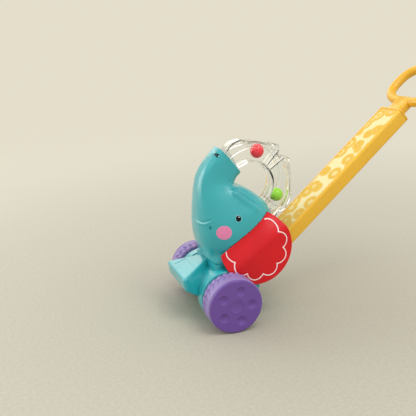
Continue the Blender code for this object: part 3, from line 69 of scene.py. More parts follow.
ring_y, ring_z = spots["ring_spin"][1] - axle_y, spots["ring_spin"][2]
axle_z = spots["wheel_spin"][2]
print("ring centre behind the axle and over the floor, mm:", round(ring_y, 2), round(ring_z, 2))


def to_room(points):
    """Toy millimetres to the frame's metres: y is counted from the axle."""
    return (np.asarray(points, float) + [0.0, axle_y, 0.0]) * MM


# %% [markdown]
# ## Surfaces from grids
#
# Each shape is a function of two parameters. Its points fill an array of rows and columns, and
# neighbouring points make a face. A closed direction joins its last line to its first. Poles and seams
# are welded after that, so that every piece is one closed skin whose faces point outwards.

# %% Grids, shells and prisms
def grid_faces(index, close_u=False, close_v=False):
    """Four corners for each cell of an array of point numbers."""
    if close_u:
        index = np.vstack([index, index[:1]])
    if close_v:
        index = np.hstack([index, index[:, :1]])
    return np.stack([index[:-1, :-1], index[:-1, 1:], index[1:, 1:], index[1:, :-1]], -1).reshape(-1, 4)


def make_mesh(name, points, faces, weld=0.002):
    """A mesh in metres from points in millimetres, welded, with its faces turned outwards."""
    mesh = bpy.data.meshes.new(name)
    mesh.from_pydata(to_room(points).tolist(), [], [list(face) for face in faces])
    shape = bmesh.new()
    shape.from_mesh(mesh)
    bmesh.ops.remove_doubles(shape, verts=shape.verts, dist=weld * MM)
    bmesh.ops.dissolve_degenerate(shape, edges=shape.edges, dist=weld * MM / 2)
    bmesh.ops.recalc_face_normals(shape, faces=shape.faces)
    shape.to_mesh(mesh)
    shape.free()
    return mesh


def sheet_mesh(name, grid, close_u=False, close_v=False):
    """A mesh over one grid of points."""
    index = np.arange(grid.shape[0] * grid.shape[1]).reshape(grid.shape[:2])
    return make_mesh(name, grid.reshape(-1, 3), grid_faces(index, close_u, close_v).tolist())


def shell_mesh(name, outer, inner):
    """Two grids of the same size joined round their four borders, as one closed wall."""
    count = outer.shape[0] * outer.shape[1]
    near = np.arange(count).reshape(outer.shape[:2])
    far = near + count
    faces = [grid_faces(near), grid_faces(far)]
    for line in (np.s_[0, :], np.s_[-1, :], np.s_[:, 0], np.s_[:, -1]):
        faces.append(grid_faces(np.stack([near[line], far[line]])))
    points = np.vstack([outer.reshape(-1, 3), inner.reshape(-1, 3)])
    return make_mesh(name, points, np.vstack(faces).tolist())


def prism_mesh(name, outline, x_from, x_to):
    """A closed outline of (y, z) points carried from x_from to x_to, with flat ends."""
    outline = np.asarray(outline, float)
    count = len(outline)
    rows = np.stack([np.column_stack([np.full(count, x), outline]) for x in (x_from, x_to)])
    faces = grid_faces(np.arange(2 * count).reshape(2, count), close_v=True).tolist()
    return make_mesh(name, rows.reshape(-1, 3), faces + [list(range(count)), list(range(count, 2 * count))])


def circle(radius, steps=64, y=0.0, z=0.0):
    """Points (y, z) round a centre."""
    turn = np.linspace(0, 2 * np.pi, steps, endpoint=False)
    return np.column_stack([y + radius * np.cos(turn), z + radius * np.sin(turn)])


trial = grid_faces(np.arange(12).reshape(3, 4), close_v=True)
print("faces of a 3 by 4 grid, closed one way:", len(trial))

# %% [markdown]
# ## Finished pieces
#
# A piece gets its material, smooth shading with crisp edges where two faces meet at more than 35 degrees,
# and the body that it moves with. Openings that follow another piece, such as a screw's well, are cut
# with a Boolean, and the result is kept as plain mesh.

# %% Placing and carving
def piece(name, mesh, material, body, stands_for=(), sharp=35):
    """Adds the mesh as an object that rides on a body and stands for some CAD nodes."""
    thing = bpy.data.objects.new(name, mesh)
    bpy.context.scene.collection.objects.link(thing)
    mesh.materials.clear()
    mesh.materials.append(material)
    mesh.shade_smooth()
    mesh.set_sharp_from_angle(angle=math.radians(sharp))
    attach(thing, body)
    if stands_for:
        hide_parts(*stands_for)
    print(name, len(mesh.polygons), "faces")


def carve(mesh, *steps):
    """Applies (operation, tool mesh) pairs to a mesh with exact Booleans."""
    work = bpy.data.objects.new("work", mesh)
    bpy.context.scene.collection.objects.link(work)
    tools = []
    for operation, tool_mesh in steps:
        tool = bpy.data.objects.new("tool", tool_mesh)
        bpy.context.scene.collection.objects.link(tool)
        step = work.modifiers.new("step", "BOOLEAN")
        step.operation, step.solver, step.object = operation, "EXACT", tool
        tools.append(tool)
    view = bpy.context.evaluated_depsgraph_get()
    made = bpy.data.meshes.new_from_object(work.evaluated_get(view))
    made.name = mesh.name + "_cut"
    for thing in tools + [work]:
        bpy.data.objects.remove(thing)
    return made


CUT, JOIN = "DIFFERENCE", "UNION"


# %% [markdown]
# ## Curves
#
# A few measured rows are enough for a smooth casing when a Catmull-Rom curve runs through them: each span
# is the cubic whose slope at either end is half the step between that end's two neighbours.

# %% Curves
def spline(rows, steps):
    """Catmull-Rom rows, with steps rows for every span."""
    rows = np.asarray(rows, float)
    padded = np.vstack([rows[:1], rows, rows[-1:]])
    a, b, c, d = (padded[k:len(rows) - 1 + k, None, :] for k in range(4))
    t = np.linspace(0, 1, steps, endpoint=False)[None, :, None]
    curve = 0.5 * (2 * b + (c - a) * t + (2 * a - 5 * b + 4 * c - d) * t**2 + (3 * b - a - 3 * c + d) * t**3)
    return np.vstack([curve.reshape(-1, rows.shape[1]), rows[-1:]])


def smooth(value):
    """0 below 0, 1 above 1, and the smooth cubic between."""
    value = np.clip(value, 0.0, 1.0)
    return value * value * (3 - 2 * value)


def signed_power(value, power):
    """|value|^power with the sign of the value."""
    return np.sign(value) * np.abs(value) ** power


print("a curve through 0, 1 and 0:", np.round(spline([[0.0], [1.0], [0.0]], 4).ravel(), 3).tolist())

# %% [markdown]
# ## Moulded plastic
#
# Toy plastic is glossy but not a mirror: its gloss wanders a little, its skin has a fine grain from the
# mould, and its colour varies by a few per cent with the wall's thickness. Three noise patterns at three
# scales give that. Sharp convex edges, which Pointiness finds, get a slightly paler colour. Every finish
# is made of the same few kinds of node, so two helpers come first.

# %% Nodes
def add_node(nodes, kind, operation=None, **values):
    """A shader node with its inputs set by name; an underscore stands for a space."""
    node = nodes.new("ShaderNode" + kind)
    if operation:
        node.operation = operation
    for label, number in values.items():
        node.inputs[label.replace("_", " ")].default_value = number
    return node


def new_material(name):
    """A material with its nodes, its links and its Principled shader."""
    material = bpy.data.materials.new(name)
    material.use_nodes = True
    nodes, links = material.node_tree.nodes, material.node_tree.links
    return material, nodes, links, nodes["Principled BSDF"]


# %% The plastic material
TONE_SCALE, GLOSS_SCALE, GRAIN_SCALE = 28.0, 180.0, 1400.0
COAT_ROUGHNESS, GRAIN_HEIGHT = 0.15, 0.0004
EDGE_FROM, EDGE_TO = 0.52, 0.60


def moulded(name, colour, roughness=0.3, grain=0.02, vary=0.05, coat=0.0, metallic=0.0, edge=0.25, shine=0.5):
    """Principled plastic: colour varied by soft noise, roughness by finer noise, and a grain in its bump."""
    material, nodes, links, shader = new_material(name)
    shader.inputs["Metallic"].default_value = metallic
    shader.inputs["Coat Weight"].default_value = coat
    shader.inputs["Coat Roughness"].default_value = COAT_ROUGHNESS
    shader.inputs["Specular IOR Level"].default_value = shine
    place = add_node(nodes, "TexCoord")

    def noise(scale, detail=3.0):
        """A noise pattern over the piece, from 0 to 1."""
        pattern = add_node(nodes, "TexNoise", Scale=scale, Detail=detail)
        links.new(place.outputs["Object"], pattern.inputs["Vector"])
        return pattern.outputs["Fac"]

    def spread(value, low, high, from_low=0.3, from_high=0.7):
        """The value carried from one range to another."""
        span = add_node(nodes, "MapRange", From_Min=from_low, From_Max=from_high, To_Min=low, To_Max=high)
        links.new(value, span.inputs["Value"])
        return span.outputs["Result"]

    def blend(share, low, high):
        """A colour between two, each of them a colour or an output."""
        mix = add_node(nodes, "Mix")
        mix.data_type = "RGBA"
        links.new(share, mix.inputs["Factor"])
        for socket, value in ((mix.inputs["A"], low), (mix.inputs["B"], high)):
            if isinstance(value, tuple):
                socket.default_value = (*value, 1.0)
            else:
                links.new(value, socket)
        return mix.outputs["Result"]

    low = tuple(c * (1 - vary) for c in colour)
    high = tuple(min(1.0, c * (1 + vary)) for c in colour)
    tone = blend(spread(noise(TONE_SCALE), 0.0, 1.0), low, high)
    if edge:
        # sharp convex edges, found by Pointiness, get a paler colour
        shape = add_node(nodes, "NewGeometry")
        paler_edge_share = spread(shape.outputs["Pointiness"], 0.0, edge, EDGE_FROM, EDGE_TO)
        tone = blend(paler_edge_share, tone, tuple(min(1.0, c * 1.35 + 0.04) for c in colour))
    links.new(tone, shader.inputs["Base Color"])
    links.new(spread(noise(GLOSS_SCALE), roughness * 0.8, roughness * 1.25), shader.inputs["Roughness"])
    bump = add_node(nodes, "Bump", Strength=grain, Distance=GRAIN_HEIGHT)
    links.new(noise(GRAIN_SCALE, 2.0), bump.inputs["Height"])
    links.new(bump.outputs["Normal"], shader.inputs["Normal"])
    return material


TEAL = moulded("teal_plastic", (0.009, 0.370, 0.400), 0.36, coat=0.85)
TEAL_DARK = moulded("teal_cover", (0.012, 0.34, 0.37), 0.42)
PURPLE = moulded("purple_plastic", (0.155, 0.068, 0.33), 0.36)
LILAC = moulded("lilac_tyre", (0.29, 0.205, 0.46), 0.45, grain=0.05)
RED = moulded("red_plastic", (0.70, 0.004, 0.010), 0.45, shine=0.35)
YELLOW = moulded("yellow_plastic", (0.81, 0.43, 0.020), 0.32)
PINK = moulded("pink_print", (0.80, 0.235, 0.42), 0.42, edge=0, shine=0.3)
PALE = moulded("pale_line", (0.95, 0.80, 0.78), 0.45, edge=0, shine=0.3)
PALE_TEAL = moulded("pale_teal_line", (0.30, 0.62, 0.64), 0.4, edge=0)
BLACK = moulded("black_gloss", (0.002, 0.002, 0.003), 0.25, edge=0, shine=0.2)
WHITE = moulded("white_nylon", (0.75, 0.75, 0.72), 0.4)
# painted highlight: the white of the glint dot on each eye
PAINTED_HIGHLIGHT_WHITE = moulded("white_print", (0.92, 0.94, 0.95), 0.4, edge=0)
GREEN_BEAD = moulded("green_bead", (0.30, 0.70, 0.020), 0.22, coat=0.3)
RED_BEAD = moulded("red_bead", (0.90, 0.010, 0.035), 0.22, coat=0.3)
RUBBER = moulded("black_rubber", (0.02, 0.02, 0.02), 0.7, grain=0.2)
STEEL = moulded("bright_steel", (0.55, 0.55, 0.57), 0.3, metallic=1.0)
# the screws' steel is painted dark: painted shade for the screws that sit deep in their wells
PAINTED_SHADE_SCREW_STEEL = moulded("screw_steel", (0.22, 0.23, 0.24), 0.42, metallic=1.0)
print("finishes:", ", ".join(material.name for material in bpy.data.materials))


# %% [markdown]
# ## Clear plastic
#
# The ring is moulded in clear, hard plastic. Light goes through it and only its edges and walls draw
# lines, so the shader sends the light through with little roughness, and a faint flow pattern from the
# mould bends it slightly. Rays that carry shade or scattered light pass straight through, so that the
# beads and the trunk behind the ring stay as bright as they are behind the thin wall of the real one.

# %% The clear material
def clear_plastic(name):
    """Transmission with a low index, since the walls are thin, and a slow ripple in the bump."""
    material, nodes, links, shader = new_material(name)
    shader.inputs["Base Color"].default_value = (0.975, 0.985, 0.98, 1.0)
    shader.inputs["Transmission Weight"].default_value = 1.0
    shader.inputs["IOR"].default_value = 1.30
    place = add_node(nodes, "TexCoord")
    ripple = add_node(nodes, "TexNoise", Scale=45.0)
    links.new(place.outputs["Object"], ripple.inputs["Vector"])
    haze = add_node(nodes, "MapRange", To_Min=0.0, To_Max=0.03)
    links.new(ripple.outputs["Fac"], haze.inputs["Value"])
    links.new(haze.outputs["Result"], shader.inputs["Roughness"])
    bump = add_node(nodes, "Bump", Strength=0.05, Distance=0.001)
    links.new(ripple.outputs["Fac"], bump.inputs["Height"])
    links.new(bump.outputs["Normal"], shader.inputs["Normal"])
    through, mixed = add_node(nodes, "BsdfTransparent"), add_node(nodes, "MixShader")
    rays, either = add_node(nodes, "LightPath"), add_node(nodes, "Math", "MAXIMUM")
    links.new(rays.outputs["Is Shadow Ray"], either.inputs[0])
    links.new(rays.outputs["Is Diffuse Ray"], either.inputs[1])
    links.new(either.outputs[0], mixed.inputs[0])
    links.new(shader.outputs[0], mixed.inputs[1])
    links.new(through.outputs[0], mixed.inputs[2])
    links.new(mixed.outputs[0], nodes["Material Output"].inputs["Surface"])
    return material


CLEAR = clear_plastic("clear_plastic")
print("clear finish:", CLEAR.name, len(CLEAR.node_tree.nodes), "nodes")

# %% [markdown]
# ## Head and trunk
#
# The casing is lofted: every row is a line from the front of the toy to its back, and round that line
# lies half a superellipse, a shape between an ellipse and a rectangle. Its points are middle - reach *
# cos(a)^(2/n) along the line and width * sin(a)^(2/n) to the side, where n is the row's squareness.

# %% The rows of the head
# front y and z, back y and z, half width, squareness
HEAD_ROWS = np.array([
    (4.0, 211.0, 32.0, 178.5, 18.0, 3.5),
    (-6.0, 200.0, 27.0, 173.5, 18.2, 3.5),
    (-15.5, 187.5, 24.2, 168.0, 18.6, 3.5),
    (-21.0, 176.5, 24.3, 164.3, 19.8, 3.4),
    (-23.8, 164.0, 33.0, 162.5, 22.8, 3.1),
    (-25.2, 149.0, 43.0, 158.0, 28.2, 2.8),
    (-25.6, 134.0, 56.0, 149.0, 34.5, 2.7),
    (-25.2, 119.0, 66.0, 139.5, 40.0, 2.7),
    (-24.0, 105.0, 74.5, 124.0, 42.3, 2.7),
    (-21.2, 92.0, 78.5, 106.0, 41.2, 2.8),
    (-16.2, 80.0, 78.5, 89.0, 38.6, 3.2),
    (-12.6, 71.8, 78.0, 71.8, 36.6, 5.5),
])
WALL = 2.4
INNER_HALF = 35.9
PARTING_HALF = 0.15
GUIDE_LONG, GUIDE_WIDE, GUIDE_POWER = 50, 38, 0.68


def head_sheet(wall, side=1, rows=22, columns=150):
    """Half the casing's skin, moved in by the wall. The columns lie evenly along one guiding superellipse."""
    fine = spline(HEAD_ROWS, rows)
    guide = np.linspace(0, np.pi, 3000)
    line = np.column_stack([GUIDE_LONG * signed_power(np.cos(guide), GUIDE_POWER),
                            GUIDE_WIDE * signed_power(np.sin(guide), GUIDE_POWER)])
    length = np.concatenate([[0], np.cumsum(np.linalg.norm(np.diff(line, axis=0), axis=1))])
    turn = np.interp(np.linspace(0, length[-1], columns), length, guide)[None, :]
    power = (2 / fine[:, 5])[:, None]
    front, back = fine[:, 0:2], fine[:, 2:4]
    reach = (back - front) / 2
    reach = reach * (1 - wall / np.linalg.norm(reach, axis=1))[:, None]
    width = fine[:, 4] - wall
    if wall:
        width = np.minimum(width, INNER_HALF)
    along = -signed_power(np.cos(turn), power)
    out = np.abs(np.sin(turn)) ** power
    out[:, [0, -1]] = 0.0
    yz = ((front + back) / 2)[:, None, :] + reach[:, None, :] * along[:, :, None]
    x = np.maximum(width[:, None] * out, PARTING_HALF)
    return np.dstack([side * x, yz])


print("head:", len(HEAD_ROWS), "measured rows,", head_sheet(0.0).shape[:2], "points on a side")

# %% [markdown]
# The marks on the head were read off as places in side view: the smile, a crease on the trunk, and the
# shoulder line where the cheek's bulge ends below the crown. Each is a path of (y, z) points. Across the
# path the skin falls by a bell curve of the distance from it, and beside it another bell curve raises a
# soft lip.

# %% Grooves in the skin
# the path, then the groove's depth and width, and its lip's height, place and width
MARKS = {
    "smile": ([(-26.0, 125.4), (-25.4, 124.0), (-23.6, 123.4), (-20.6, 124.4), (-16.4, 127.3),
               (-11.2, 130.5)], 0.8, 0.9, 0.5, -2.0, 1.2),
    "crease": ([(-2.4, 194.7), (-5.1, 190.1), (-7.5, 184.9), (-9.6, 181.5)], 0.6, 0.9, 0.3, -1.8, 1.2),
    "brow": ([(12.5, 161.6), (17.0, 162.2), (22.3, 161.0), (27.2, 157.0), (31.7, 152.8), (36.6, 149.1),
              (41.8, 145.8), (45.5, 142.2), (47.7, 139.2), (51.2, 134.7)], 1.6, 1.1, 2.2, -4.6, 3.6),
}
FADE_IN, FADE_OUT, FADE_PAST_END = 0.15, 0.2, 1.5


def normals_of(grid):
    """Unit normals of a grid: the cross product of its two directions."""
    across = np.gradient(grid, axis=1)
    down = np.gradient(grid, axis=0)
    normal = np.cross(across, down)
    return normal / np.maximum(np.linalg.norm(normal, axis=2, keepdims=True), 1e-9)


def relief(grid, path, depth, width, swell, swell_at, swell_width):
    """Height over the skin of a groove with a swollen lip: -depth * exp(-(gap / width)^2) on the path, plus
    swell * exp(-((gap - swell_at) / swell_width)^2) beside it. The gap's sign tells the side of the path."""
    line = spline(path, 12)
    along = np.gradient(line, axis=0)
    along /= np.linalg.norm(along, axis=1)[:, None]
    apart = grid[:, :, None, 1:] - line[None, None, :, :]
    nearest = np.linalg.norm(apart, axis=3).argmin(axis=2)
    offset = grid[:, :, 1:] - line[nearest]
    way = along[nearest]
    gap = way[..., 0] * offset[..., 1] - way[..., 1] * offset[..., 0]
    beyond = np.abs((way * offset).sum(axis=2))
    share = nearest / (len(line) - 1)
    fade = np.minimum(smooth(share / FADE_IN), smooth((1 - share) / FADE_OUT))
    fade = fade * np.exp(-(beyond / FADE_PAST_END) ** 2)
    lip = swell * np.exp(-((gap - swell_at) / swell_width) ** 2)
    return fade * (lip - depth * np.exp(-(gap / width) ** 2))


# %% [markdown]
# The ear lies in a shallow recess. In side view it is described by a straight line on the cheek, by how
# far a point lies along that line, and by how far down from it. Where the recess or the ear covers the
# skin, the skin's x is held below theirs.

# %% The recess for the ear
EAR_LINE, EAR_SLOPE = np.array([26.7, 109.1]), math.radians(36.4)
EAR_ALONG = np.array([math.cos(EAR_SLOPE), math.sin(EAR_SLOPE)])
EAR_DOWN = np.array([EAR_ALONG[1], -EAR_ALONG[0]])
EAR_RADIUS, EAR_DROP, EAR_THICK = 45.5, 22.5, 2.4
EAR_FACE, EAR_FLARE, FLARE_OVER = 38.8, 9.6, 26.0
EAR_WRAP, WRAP_FROM, WRAP_OVER = 8.0, 10.0, 30.0
RECESS_X, RECESS_FRONT, EAR_GAP = 38.4, 44.0, 0.5
HEAD_MIDDLE = np.array([0.0, 20.0, 130.0])
BEND_DIMPLE, DIMPLE_REACH, DIMPLE_SINK = (14.2, 171.7), 1.9, 0.7


def ear_depth(along, down):
    """Distance of the ear's inner face from the middle: it flares downwards and wraps inwards at the back."""
    fall = smooth(down / FLARE_OVER)
    wrap = EAR_WRAP * (np.maximum(along - WRAP_FROM, 0.0) / WRAP_OVER) ** 2
    return EAR_FACE + EAR_FLARE * fall - wrap * (1 - fall)


def finished_head():
    """The left outer skin with its marks and the dimple in the trunk's bend, flattened where the ear lies.
    The dimple is a round hollow: depth * (1 - (gap / radius)^2)^1.5 inside its radius."""
    grid = head_sheet(0.0)
    normal = normals_of(grid)
    if (normal * (grid - HEAD_MIDDLE)).sum() < 0:
        normal = -normal
    gap = np.hypot(grid[:, :, 1] - BEND_DIMPLE[0], grid[:, :, 2] - BEND_DIMPLE[1])
    height = sum(relief(grid, *mark) for mark in MARKS.values())
    height = height - DIMPLE_SINK * np.clip(1 - (gap / DIMPLE_REACH) ** 2, 0, 1) ** 1.5
    grid = grid + normal * height[:, :, None]
    side_view = grid[:, :, 1:] - EAR_LINE
    along, down = side_view @ EAR_ALONG, side_view @ EAR_DOWN
    within = (down > 0) & (along > -RECESS_FRONT)
    on_ear = within & (np.hypot(along, down - EAR_DROP) < EAR_RADIUS + EAR_GAP)
    x = np.where(within, np.minimum(grid[:, :, 0], RECESS_X), grid[:, :, 0])
    grid[:, :, 0] = np.where(on_ear, np.minimum(x, ear_depth(along, down) - EAR_GAP), x)
    return grid


skin_points = finished_head()
print("head skin:", skin_points.shape[:2], "points, widest at x", round(float(skin_points[:, :, 0].max()), 2))

# %% [markdown]
# The ring runs through a slot in the head, the handle through its back, and screws sit in round wells in
# the left shell. The cutters are prisms and bars worked out from the same places as in the model. A well
# has a short post inside the skin, so that its floor is closed. The cheek's screw shows as a shallow
# round pit, cut without a post.

# %% Cutters
SCREW_OUT, SCREW_AT = 63.0, math.radians(139.5)
TRUNK_SCREW = (ring_y + SCREW_OUT * math.cos(SCREW_AT), ring_z + SCREW_OUT * math.sin(SCREW_AT))
WELLS, WELL_RADIUS, POST_RADIUS = [(*TRUNK_SCREW, 6.0), (70.0, 89.0, 28.0)], 2.5, 3.6
CHEEK_WELL, CHEEK_SEAT, CHEEK_RADIUS = (-16.0, 119.0), 28.6, 2.2
SLOT_HALF, SLOT_IN, SLOT_OUT, SLOT_FROM, SLOT_TO = 15.1, 28.2, 60.6, -98, -18
BEND_IN, BEND_OUT, BEND_FROM, BEND_TO = 50.0, 60.3, 130, 149
HANDLE_FOOT, HANDLE_SLOPE = np.array([60.0, 56.0]), math.radians(42.9)
HANDLE_WIDE, HANDLE_THICK, HANDLE_LONG = 44.0, 19.5, 272.0
ROOM_FROM, ROOM_TO, ROOM_GAP = 8.0, 52.0, 0.3
BEYOND = 60.0
HANDLE_WAY = np.array([math.cos(HANDLE_SLOPE), math.sin(HANDLE_SLOPE)])
HANDLE_RISE = np.array([-HANDLE_WAY[1], HANDLE_WAY[0]])


def bar_mesh(name, radius, x_from, x_to, y, z, steps=40):
    """A round bar along x."""
    return prism_mesh(name, circle(radius, steps, y, z), min(x_from, x_to), max(x_from, x_to))


def sector(inner, outer, start, end, steps=60):
    """Outline of a part of a flat ring round the bead ring's centre."""
    turn = np.radians(np.linspace(start, end, steps))
    far = np.column_stack([ring_y + outer * np.cos(turn), ring_z + outer * np.sin(turn)])
    near = np.column_stack([ring_y + inner * np.cos(turn), ring_z + inner * np.sin(turn)])
    return np.vstack([far, near[::-1]])


def handle_room():
    """A block round the handle's lower part, a small gap wider than the bar."""
    half = HANDLE_THICK / 2 + ROOM_GAP
    corners = [HANDLE_FOOT + HANDLE_WAY * a + HANDLE_RISE * b
               for a, b in ((ROOM_FROM, -half), (ROOM_TO, -half), (ROOM_TO, half), (ROOM_FROM, half))]
    return prism_mesh("handle_room", corners, -HANDLE_WIDE / 2 - ROOM_GAP, HANDLE_WIDE / 2 + ROOM_GAP)


SIDES = ((1, "left"), (-1, "right"))
for side, label in SIDES:
    grid = skin_points * [side, 1, 1]
    mesh = shell_mesh("head_" + label, grid, head_sheet(WALL, side))
    slot = sector(SLOT_IN, SLOT_OUT, SLOT_FROM, SLOT_TO)
    steps = [(CUT, prism_mesh("slot", slot, -SLOT_HALF, SLOT_HALF)), (CUT, handle_room())]
    if side > 0:
        for y, z, seat in WELLS:
            steps.append((JOIN, bar_mesh("post", POST_RADIUS, seat - 2.0, seat + 3.0, y, z)))
            steps.append((CUT, bar_mesh("well", WELL_RADIUS, seat, BEYOND, y, z)))
        bend = sector(BEND_IN, BEND_OUT, BEND_FROM, BEND_TO)
        steps.append((CUT, prism_mesh("ring_room", bend, -SLOT_HALF, SLOT_HALF)))
        steps.append((CUT, bar_mesh("cheek_well", CHEEK_RADIUS, CHEEK_SEAT, BEYOND, *CHEEK_WELL)))
    piece("head_skin_" + label, carve(mesh, *steps), TEAL, "body", ["head_shell_" + label])

# %% [markdown]
# ## Eyes and cheeks
#
# The eye is a low black dome with a white dot on it, a painted highlight for its glint, and the cheek a
# round pink print. Both follow the skin: a point of the patch takes its x and its normal from the nearest
# points of the head's grid, weighted by a bell curve of their distance in side view.

# %% Patches that follow the skin
NEARBY = 30.0
flat_points = skin_points.reshape(-1, 3)
flat_normals = normals_of(skin_points).reshape(-1, 3)
if (flat_normals[:, 0] * flat_points[:, 0]).sum() < 0:
    flat_normals = -flat_normals


def on_skin(yz, reach=1.2):
    """Points of the skin over (y, z) places, with their normals."""
    close = np.hypot(*(flat_points[:, 1:] - yz.mean(axis=0)).T) < NEARBY
    near, towards = flat_points[close], flat_normals[close]
    gap = ((yz[:, None, :] - near[None, :, 1:]) ** 2).sum(axis=2)
    weight = np.exp(-gap / reach**2)
    weight /= weight.sum(axis=1, keepdims=True)
    normal = weight @ towards
    return np.column_stack([weight @ near[:, 0], yz]), normal / np.linalg.norm(normal, axis=1, keepdims=True)


def patch(name, side, centre, half_y, half_z, height, sink, material, power, rings=14, steps=72):
    """A low dome on the skin, height * (1 - r^2)^(1/power) high, whose back lies sunk in the skin."""
    r = np.linspace(0, 1, rings)[:, None]
    turn = np.linspace(0, 2 * np.pi, steps, endpoint=False)[None, :]
    yz = np.dstack([centre[0] + half_y * r * np.cos(turn), centre[1] + half_z * r * np.sin(turn)])
    base, normal = on_skin(yz.reshape(-1, 2))
    rise = (height * (1 - np.minimum(r, 1) ** 2) ** (1 / power) * np.ones_like(turn)).reshape(-1, 1)
    top = (base + normal * rise).reshape(rings, steps, 3)
    under = (base - normal * sink).reshape(rings, steps, 3)
    grid = np.vstack([top, under[::-1]]) * [side, 1, 1]
    piece(name, sheet_mesh(name, grid, close_v=True), material, "body")


# name, middle, half size in y and z, height, depth sunk in, finish, power of the dome
EYE, CHEEK = (17.4, 129.7), (-0.7, 113.5)
PATCHES = [("cheek_", CHEEK, 9.0, 8.7, 0.18, 0.25, PINK, 8.0),
           ("eye_rim_", EYE, 3.85, 4.15, 0.12, 0.25, PALE_TEAL, 8.0),
           ("eye_", EYE, 3.45, 3.75, 0.9, 0.25, BLACK, 2.0),
           # the glint is a painted highlight: a white dot on the eye
           ("eye_glint_", (EYE[0] + 0.5, EYE[1] + 1.6), 0.85, 1.1, 0.95, 0.1, PAINTED_HIGHLIGHT_WHITE, 3.0)]
for side, label in SIDES:
    for name, *facts in PATCHES:
        patch(name + label, side, *facts)

# %% [markdown]
# ## Ears
#
# An ear is a dished plate: a disc cut straight along the cheek. Its points run out from an inner centre
# to that outline in growing shares, and both faces meet at the rim in a quarter round. The scalloped line
# is a fine raised bead of paint, whose radius is an inner one plus a swing times a power of |sin|.

# %% The ear
RIM_ROUND, RIM_CROWDING = 1.2, 1.6


def ear_edge(turn):
    """Distance from the ear's centre to its outline: the disc, or the straight edge where that is nearer."""
    rise = -np.sin(turn)
    straight = np.where(rise > 1e-6, (EAR_DROP - EAR_GAP) / np.maximum(rise, 1e-6), 1e9)
    return np.minimum(EAR_RADIUS, straight)


def ear_places(radius, turn):
    """(along, down) of polar places round the ear's centre."""
    return radius * np.cos(turn), EAR_DROP + radius * np.sin(turn)


def ear_to_toy(along, down, x):
    """Places along the ear's line and down from it, at a distance x from the middle, as toy places."""
    yz = EAR_LINE + along[..., None] * EAR_ALONG + down[..., None] * EAR_DOWN
    return np.concatenate([x[..., None], yz], axis=-1)


def ear_mesh(name, side, rings=70, steps=240):
    """Front and back face at middle +- half the thickness * sqrt(1 - (1 - inset)^2), closed round the rim."""
    corner = math.asin((EAR_DROP - EAR_GAP) / EAR_RADIUS)
    arcs = [np.linspace(-corner, np.pi + corner, steps * 3 // 4, endpoint=False),
            np.linspace(np.pi + corner, 2 * np.pi - corner, steps // 4, endpoint=False)]
    turn = np.concatenate(arcs)[None, :]
    edge = ear_edge(turn)
    share = (1 - (1 - np.linspace(0, 1, rings)) ** RIM_CROWDING)[:, None]
    radius = share * edge
    along, down = ear_places(radius, turn)
    inset = np.clip((edge - radius) / RIM_ROUND, 0, 1)
    swell = np.sqrt(1 - (1 - inset) ** 2)
    middle = ear_depth(along, down) + EAR_THICK / 2
    front = ear_to_toy(along, down, middle + EAR_THICK / 2 * swell)
    back = ear_to_toy(along, down, middle - EAR_THICK / 2 * swell)
    return sheet_mesh(name, np.vstack([front, back[::-1]]) * [side, 1, 1], close_v=True)


LINE_FROM, LINE_TO, LINE_HALF, LINE_HIGH, LINE_SUNK = -33.5, 214.5, 0.68, 0.16, 0.25
SCALLOP_IN, SCALLOP_SWING, SCALLOP_PITCH, SCALLOP_START, SCALLOP_POWER = 32.4, 6.6, 38.5, -1.0, 0.75


def scallop_mesh(name, side, steps=900, around=9):
    """A half-round bead carried along the scalloped path on the ear's face."""
    turn = np.radians(np.linspace(LINE_FROM, LINE_TO, steps))
    wave = np.abs(np.sin(np.pi * (np.degrees(turn) - SCALLOP_START) / SCALLOP_PITCH))
    radius = SCALLOP_IN + SCALLOP_SWING * wave**SCALLOP_POWER
    along, down = ear_places(radius, turn)
    path = np.column_stack([along, down])
    step = np.gradient(path, axis=0)
    aside = np.column_stack([-step[:, 1], step[:, 0]]) / np.linalg.norm(step, axis=1)[:, None]
    across = np.linspace(-1, 1, around)
    wide = path[:, None, :] + aside[:, None, :] * across[None, :, None] * LINE_HALF
    face = ear_depth(wide[..., 0], wide[..., 1]) + EAR_THICK
    top = ear_to_toy(wide[..., 0], wide[..., 1], face + LINE_HIGH * (1 - across**2)[None, :] + 0.02)
    under = ear_to_toy(wide[..., 0], wide[..., 1], face - LINE_SUNK)
    return shell_mesh(name, top * [side, 1, 1], under * [side, 1, 1])


for side, label in SIDES:
    piece("ear_plate_" + label, ear_mesh("ear_" + label, side), RED, "body", ["ear_" + label])
    piece("ear_line_" + label, scallop_mesh("ear_line_" + label, side), PALE, "body")

# %% [markdown]
# ## Base
#
# The base is one moulding with a flat foot in front, a round fender behind each wheel and a heel. Behind
# the foot its side view is an outline with rounded corners, carried across the toy, and drawn in towards
# both sides so that its long edges are round. The same outline, moved in by the wall, gives its hollow.

# %% The base's outline
BASE_HALF, BASE_ROUND, BASE_TOP, CORNER_STEPS = 36.0, 3.6, 71.7, 10
BASE_CORNERS = [((-14.0, BASE_TOP), 14.0), ((-52.0, 57.5), 3.0), ((-49.5, 42.5), 5.0), ((-25.0, 29.5), 10.0),
                ((22.0, 4.5), 4.0), ((36.0, 4.5), 5.0), ((50.0, 12.0), 5.0), ((52.5, 37.0), 4.0),
                ((76.5, 49.0), 6.0), ((78.0, BASE_TOP), 1.5)]


